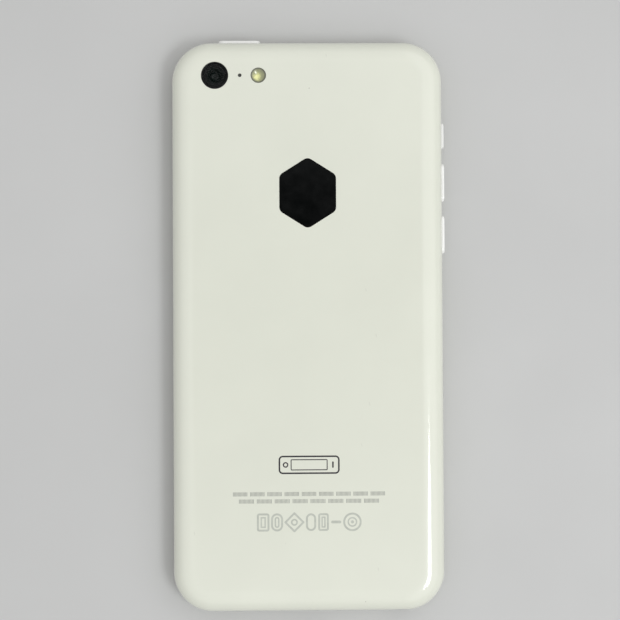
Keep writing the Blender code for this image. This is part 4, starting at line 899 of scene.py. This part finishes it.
def make_home_button():
    """A hollow-faced cap on a flange, with a stem for its switch."""
    steps, dip, flange = 12, 0.22, HOME_RADIUS + 0.4
    profile = [(HOME_RADIUS * k / steps, HOME_FACE_Z + dip * (1 - (k / steps) ** 2)) for k in range(steps)]
    profile += [(HOME_RADIUS - 0.12, HOME_FACE_Z + 0.02), (HOME_RADIUS - 0.04, HOME_FACE_Z + 0.05),
                (HOME_RADIUS, HOME_FACE_Z + 0.13), (HOME_RADIUS, 1.05), (flange, 1.05), (flange, 1.35),
                (1.5, 1.35), (1.5, 1.65), (0, 1.65)]
    piece("home_button_cap", "front_glass_black", turned(profile, HOME.xy, sides=96), body="home_key",
          stands_for="home_button")


def make_earpiece():
    grille = cap_solid(pill_at(10.7, 1.2, middle("earpiece_mesh").xy), 0.8, 0.4, 0.1, "Z", 4)
    piece("earpiece_grille", "acoustic_mesh", grille, stands_for="earpiece_mesh")


# ------------ bottom edge
def perforated_plate(x_range, z_range, y_range, pitch, bar):
    """A flat plate facing the bottom edge with square holes in rows."""
    def stops(low, high):
        count = int((high - low - bar) / pitch)
        start = (low + high - count * pitch - bar) / 2
        values = [low]
        for k in range(count):
            values += [start + bar + k * pitch, start + (k + 1) * pitch]
        return values + [high]

    xs, zs = stops(*x_range), stops(*z_range)
    front, back = y_range
    shape = bmesh.new()
    grid = [[shape.verts.new((x, front, z)) for z in zs] for x in xs]
    for i in range(len(xs) - 1):
        for j in range(len(zs) - 1):
            if not (i % 2 and j % 2):
                shape.faces.new((grid[i][j], grid[i + 1][j], grid[i + 1][j + 1], grid[i][j + 1]))
    extruded = bmesh.ops.extrude_face_region(shape, geom=shape.faces[:], use_keep_orig=True)["geom"]
    moved = [part for part in extruded if isinstance(part, bmesh.types.BMVert)]
    bmesh.ops.translate(shape, verts=moved, vec=(0.0, back - front, 0.0))
    bmesh.ops.recalc_face_normals(shape, faces=shape.faces)
    return shape


def make_dock():
    """The charging socket: a steel shell, a contact carrier on its floor, and eight gilt contacts."""
    face = box_mm("dock_connector")[0].y
    dock = solid("dock_socket", cap_solid(pill_at(*DOCK_SIZE, (0.0, EDGE_Z)), -60.0, face, 0.15, "Y", 5))
    housing_at = box_at(4.8, 1.3, 0.4, (0.0, 4.45), 6)
    boolean(dock, "UNION", cap_solid(housing_at, -60.4, -52.6, 0.1, "Y", 3, both=True))
    carve(dock, mouth(pill_at(6.9, 2.15, (0.0, 4.375)), -54.9, face, 0.0, 0.14, "Y"))
    dress(dock, "stainless_steel", stands_for="dock_connector")
    floor_z, middle_y, first_x, pitch, count = 3.35, -57.9, -2.45, 0.7, 8
    piece("dock_contact_carrier", "black_plastic",
          cap_solid(box_at(2.9, 2.5, 0.2, (0.0, middle_y), 4), floor_z, floor_z + 0.3, 0.05, "Z", 3))
    fingers = [cap_solid(box_at(0.19, 2.2, 0.19, (first_x + pitch * k, middle_y), 4), floor_z + 0.28,
                         floor_z + 0.36, 0.03, "Z", 3) for k in range(count)]
    piece("dock_contact_fingers", "contact_gold", *fingers, stands_for="dock_contacts")


def make_headphone_jack():
    """A socket with a rounded nose and a real bore, and three contact rings inside it."""
    jack, face = on_end("headphone_socket"), box_mm("headphone_socket")[0].y
    nose, bore, body = JACK_NOSE_RADIUS, JACK_BORE_RADIUS, 2.45
    shoulder_y, floor_y, back_y = -59.1, -47.6, -47.05
    profile = [(0, back_y), (body, back_y), (body, shoulder_y), (nose, shoulder_y), (nose, face + 0.1),
               (nose - 0.04, face + 0.03), (nose - 0.11, face), (bore + 0.14, face),
               (bore + 0.05, face + 0.05), (bore, face + 0.16), (bore, floor_y), (0, floor_y)]
    piece("headphone_jack", "black_plastic", hug(turned(profile, jack, "Y", 72), "Y", 0.1),
          stands_for="headphone_socket")
    for ring, y in enumerate((-60.4, -57.6, -54.2)):
        bow = [(1.745, y - 0.35), (1.745, y + 0.35), (1.66, y + 0.25), (1.62, y), (1.66, y - 0.25)]
        piece(f"jack_contact_{ring + 1}", "contact_gold", turned(bow, jack, "Y", 48))


def cross(reach, half_width, centre):
    """A plus sign's outline, anticlockwise."""
    corners = [(-reach, -half_width), (-half_width, -half_width), (-half_width, -reach)]
    outline = []
    for _ in range(4):
        outline += [(centre[0] + x, centre[1] + y) for x, y in corners]
        corners = [(-y, x) for x, y in corners]
    return outline


def make_bottom_screws():
    profile = [(0, -62.04), (0.5, -62.04), (0.74, -61.98), (0.85, -61.88), (0.85, -61.7), (0.5, -61.7),
               (0.5, -58.9), (0, -58.9)]
    for node in BOTTOM_SCREWS:
        screw = solid(f"{node}_head", turned(profile, on_end(node), "Y", 48))
        carve(screw, prism(cross(0.42, 0.09, on_end(node)), -63.0, -61.78, "Y"))
        dress(screw, "screw_steel", stands_for=node)


def make_loudspeaker_mesh():
    low, high = box_mm("loudspeaker_mesh")
    woven = plain_plastic("woven_steel_black", (0.05, 0.05, 0.05), 0.2, (0.35, 0.5), 0.002)
    across, deep, up = zip(low, high)
    piece("speaker_grille", "acoustic_mesh", perforated_plate(across, up, deep, 0.26, 0.1),
          stands_for="loudspeaker_mesh", finish=woven)
    piece("speaker_cloth", "acoustic_mesh", block(across, (high.y + 0.02, high.y + 0.1), up))


# ------------ printed marks on the back
PRINT_LOW, PRINT_HIGH = THICKNESS - 0.01, THICKNESS + 0.012


def ink(outline):
    return prism(outline, PRINT_LOW, PRINT_HIGH)


def ink_line(outline_at, stroke):
    """A line of ink along the inside of an outline."""
    corners = ((0.0, PRINT_LOW), (0.0, PRINT_HIGH), (stroke, PRINT_HIGH), (stroke, PRINT_LOW))
    return loft([(outline_at(inset), z) for inset, z in corners], closed=True)


def diamond_at(reach, radius, centre):
    """A rounded square standing on a corner. An inset takes 1.41 times itself off the reach."""
    def outline(inset):
        far = reach - 1.41 * inset
        corners = [(centre[0] + far * x, centre[1] + far * y) for x, y in ((1, 0), (0, 1), (-1, 0), (0, -1))]
        return rounded_polygon(corners, radius)
    return outline


def tick_row(half_width, y, groups, ticks=12):
    """A row of equal fine ticks in equal groups, which stands for a line of fine print."""
    width, half_height, group_gap = 0.15, 0.44, 2.0
    pitch = 2 * half_width / (groups * ticks + group_gap * (groups - 1))
    low, high = y - half_height, y + half_height
    starts = [pitch * (group * (ticks + group_gap) + tick) - half_width
              for group in range(groups) for tick in range(ticks)]
    return [ink([(x, low), (x + width, low), (x + width, high), (x, high)]) for x in starts]


def make_emblem():
    """A plain rounded hexagon."""
    half_width, half_height, centre_y = 6.17, 7.8, 28.85
    corners = [(half_width / math.cos(math.radians(30)) * math.cos(a), centre_y + half_height * math.sin(a))
               for a in (math.radians(90 + 60 * k) for k in range(6))]
    black = print_finish("mark_gloss_black", (0.0022, 0.0026, 0.0026), 0.12, 0.3)
    piece("back_emblem", None, ink(rounded_polygon(corners, 1.5)), finish=black)


def make_pictogram():
    """An outline drawing of a phone lying on its side."""
    y = -30.1
    piece("back_pictogram", None,
          ink_line(box_at(6.6, 1.98, 0.9, (0.0, y), 8), 0.33),
          ink_line(box_at(4.0, 1.2, 0.24, (0.0, y), 4), 0.2),
          ink_line(circle_at(0.6, (-5.1, y), 32), 0.26),
          ink(rounded_outline(0.16, 0.7, 0.16, 4, (5.15, y))),
          finish=print_finish("mark_dark_grey", (0.026, 0.022, 0.03), 0.3, 0.3))


def make_print_rows():
    fine = print_finish("mark_fine_grey", (0.36, 0.37, 0.335), 0.3)
    piece("back_print_rows", None, *tick_row(16.5, -36.4, 9), *tick_row(15.2, -37.95, 8), finish=fine)


def make_symbol_row():
    """A row of plain geometric outlines."""
    y, stroke, thin = -42.5, 0.42, 0.3

    def pair(outline_at, gap):
        """An outline, and a thinner one inside it."""
        return ink_line(outline_at, stroke), ink_line(lambda inset: outline_at(gap + inset), thin)

    piece("back_symbol_row", None,
          *pair(box_at(1.35, 1.95, 0.5, (-10.0, y), 5, least=0.05), 0.78),
          *pair(box_at(1.3, 1.95, 1.29, (-7.0, y), 8), 0.78),
          ink_line(diamond_at(2.25, 0.2, (-3.25, y)), stroke),
          ink_line(circle_at(0.75, (-3.25, y), 32), 0.34),
          ink_line(box_at(1.1, 1.9, 1.09, (0.35, y), 8), stroke),
          *pair(box_at(1.15, 1.9, 0.5, (3.05, y), 5, least=0.05), 0.7),
          ink(pill_at(2.2, 0.6, (5.8, y))(0.0)),
          ink_line(circle_at(2.0, (9.3, y), 48), stroke),
          ink_line(circle_at(1.05, (9.3, y), 40), thin),
          ink(circle(0.34, (9.3, y), 24)),
          finish=print_finish("mark_light_grey", (0.52, 0.54, 0.48), 0.3))


# ------------ what stays from the CAD
def dress_cad_nodes():
    slots = {part["node"]: part["material_slot"] for part in frame["record"]["subparts"]}
    for name, node in frame["nodes"].items():
        node.data.materials.clear()
        node.data.materials.append(finishes[slots[name]].made)


# ------------ floor, light and camera
def make_floor():
    reach, z = 3000, -0.02
    shape = bmesh.new()
    corners = [(-reach, -reach), (reach, -reach), (reach, reach), (-reach, reach)]
    shape.faces.new([shape.verts.new((x, y, z)) for x, y in corners])
    floor = solid("floor", shape)
    paper = mottled("floor_pale", (0.56, 0.56, 0.555), (0.59, 0.59, 0.585), (0.6, 0.75), (60.0, 4.0), (20.0,))
    floor.data.materials.append(paper.made)


def area_light(name, shape, place, size, radiance, colour=(1.0, 1.0, 1.0)):
    """A light that faces down. Place and size are in millimetres, and its power follows from its radiance."""
    light = bpy.data.lights.new(name, "AREA")
    light.shape = shape
    light.size, light.size_y = size[0] * MM, size[1] * MM
    area = light.size * light.size_y * (math.pi / 4 if shape == "ELLIPSE" else 1.0)
    light.energy = radiance * math.pi * area
    light.color = colour
    lamp = bpy.data.objects.new(name, light)
    bpy.context.scene.collection.objects.link(lamp)
    lamp.location = Vector(place) * MM


# Brightness of the studio's walls and ceiling against the height of a direction, 1 being straight up.
# The ceiling is dark straight above the phone, where a camera would block it.
ROOM = ((0.0, 0.45), (0.35, 0.47), (0.7, 0.82), (0.9, 0.72), (0.96, 0.80), (0.983, 0.75), (0.996, 0.02),
        (1.0, 0.0))


def make_world():
    world = bpy.data.worlds.new("studio")
    world.use_nodes = True
    tree = world.node_tree
    direction = tree.nodes.new("ShaderNodeTexCoord").outputs["Generated"]
    split = tree.nodes.new("ShaderNodeSeparateXYZ")
    ramp = tree.nodes.new("ShaderNodeValToRGB")
    tree.links.new(direction, split.inputs[0])
    tree.links.new(split.outputs["Z"], ramp.inputs["Fac"])
    tree.links.new(ramp.outputs["Color"], tree.nodes["Background"].inputs["Color"])
    set_stops(ramp, [(height, (level, level, level)) for height, level in ROOM])
    bpy.context.scene.world = world


def make_lights():
    """A pale room, a broad dim panel and a small bright lamp."""
    make_world()
    area_light("panel", "RECTANGLE", (1200, 0, 900), (2060, 2600), 0.38)
    area_light("lamp", "ELLIPSE", (480, -315, 1000), (300, 460), 9.5, (0.97, 1.0, 1.0))
    bpy.context.scene.view_settings.view_transform = "Standard"


def make_camera():
    """A camera nearly straight above the phone's back, a little off its middle."""
    place, tilt, lens = (-5.54, -2.48, 350.0), (0.994, -0.987, -0.309), 91.35
    data = bpy.data.cameras.new("camera")
    data.sensor_width = 36.0
    data.lens = lens
    data.clip_start, data.clip_end = 0.01, 20.0
    camera = bpy.data.objects.new("camera", data)
    bpy.context.scene.collection.objects.link(camera)
    camera.location = Vector(place) * MM
    camera.rotation_euler = [math.radians(angle) for angle in tilt]
    bpy.context.scene.camera = camera


dress_cad_nodes()
make_shell()
make_camera_ring()
make_camera_window()
make_camera_lens()
make_flash()
make_rear_microphone()
make_volume_buttons()
make_power_button()
make_ring_switch()
make_sim_tray()
make_front_glass()
make_bezel()
make_home_button()
make_earpiece()
make_dock()
make_headphone_jack()
make_bottom_screws()
make_loudspeaker_mesh()
make_emblem()
make_pictogram()
make_print_rows()
make_symbol_row()
make_floor()
make_lights()
make_camera()

bpy.context.view_layer.update()
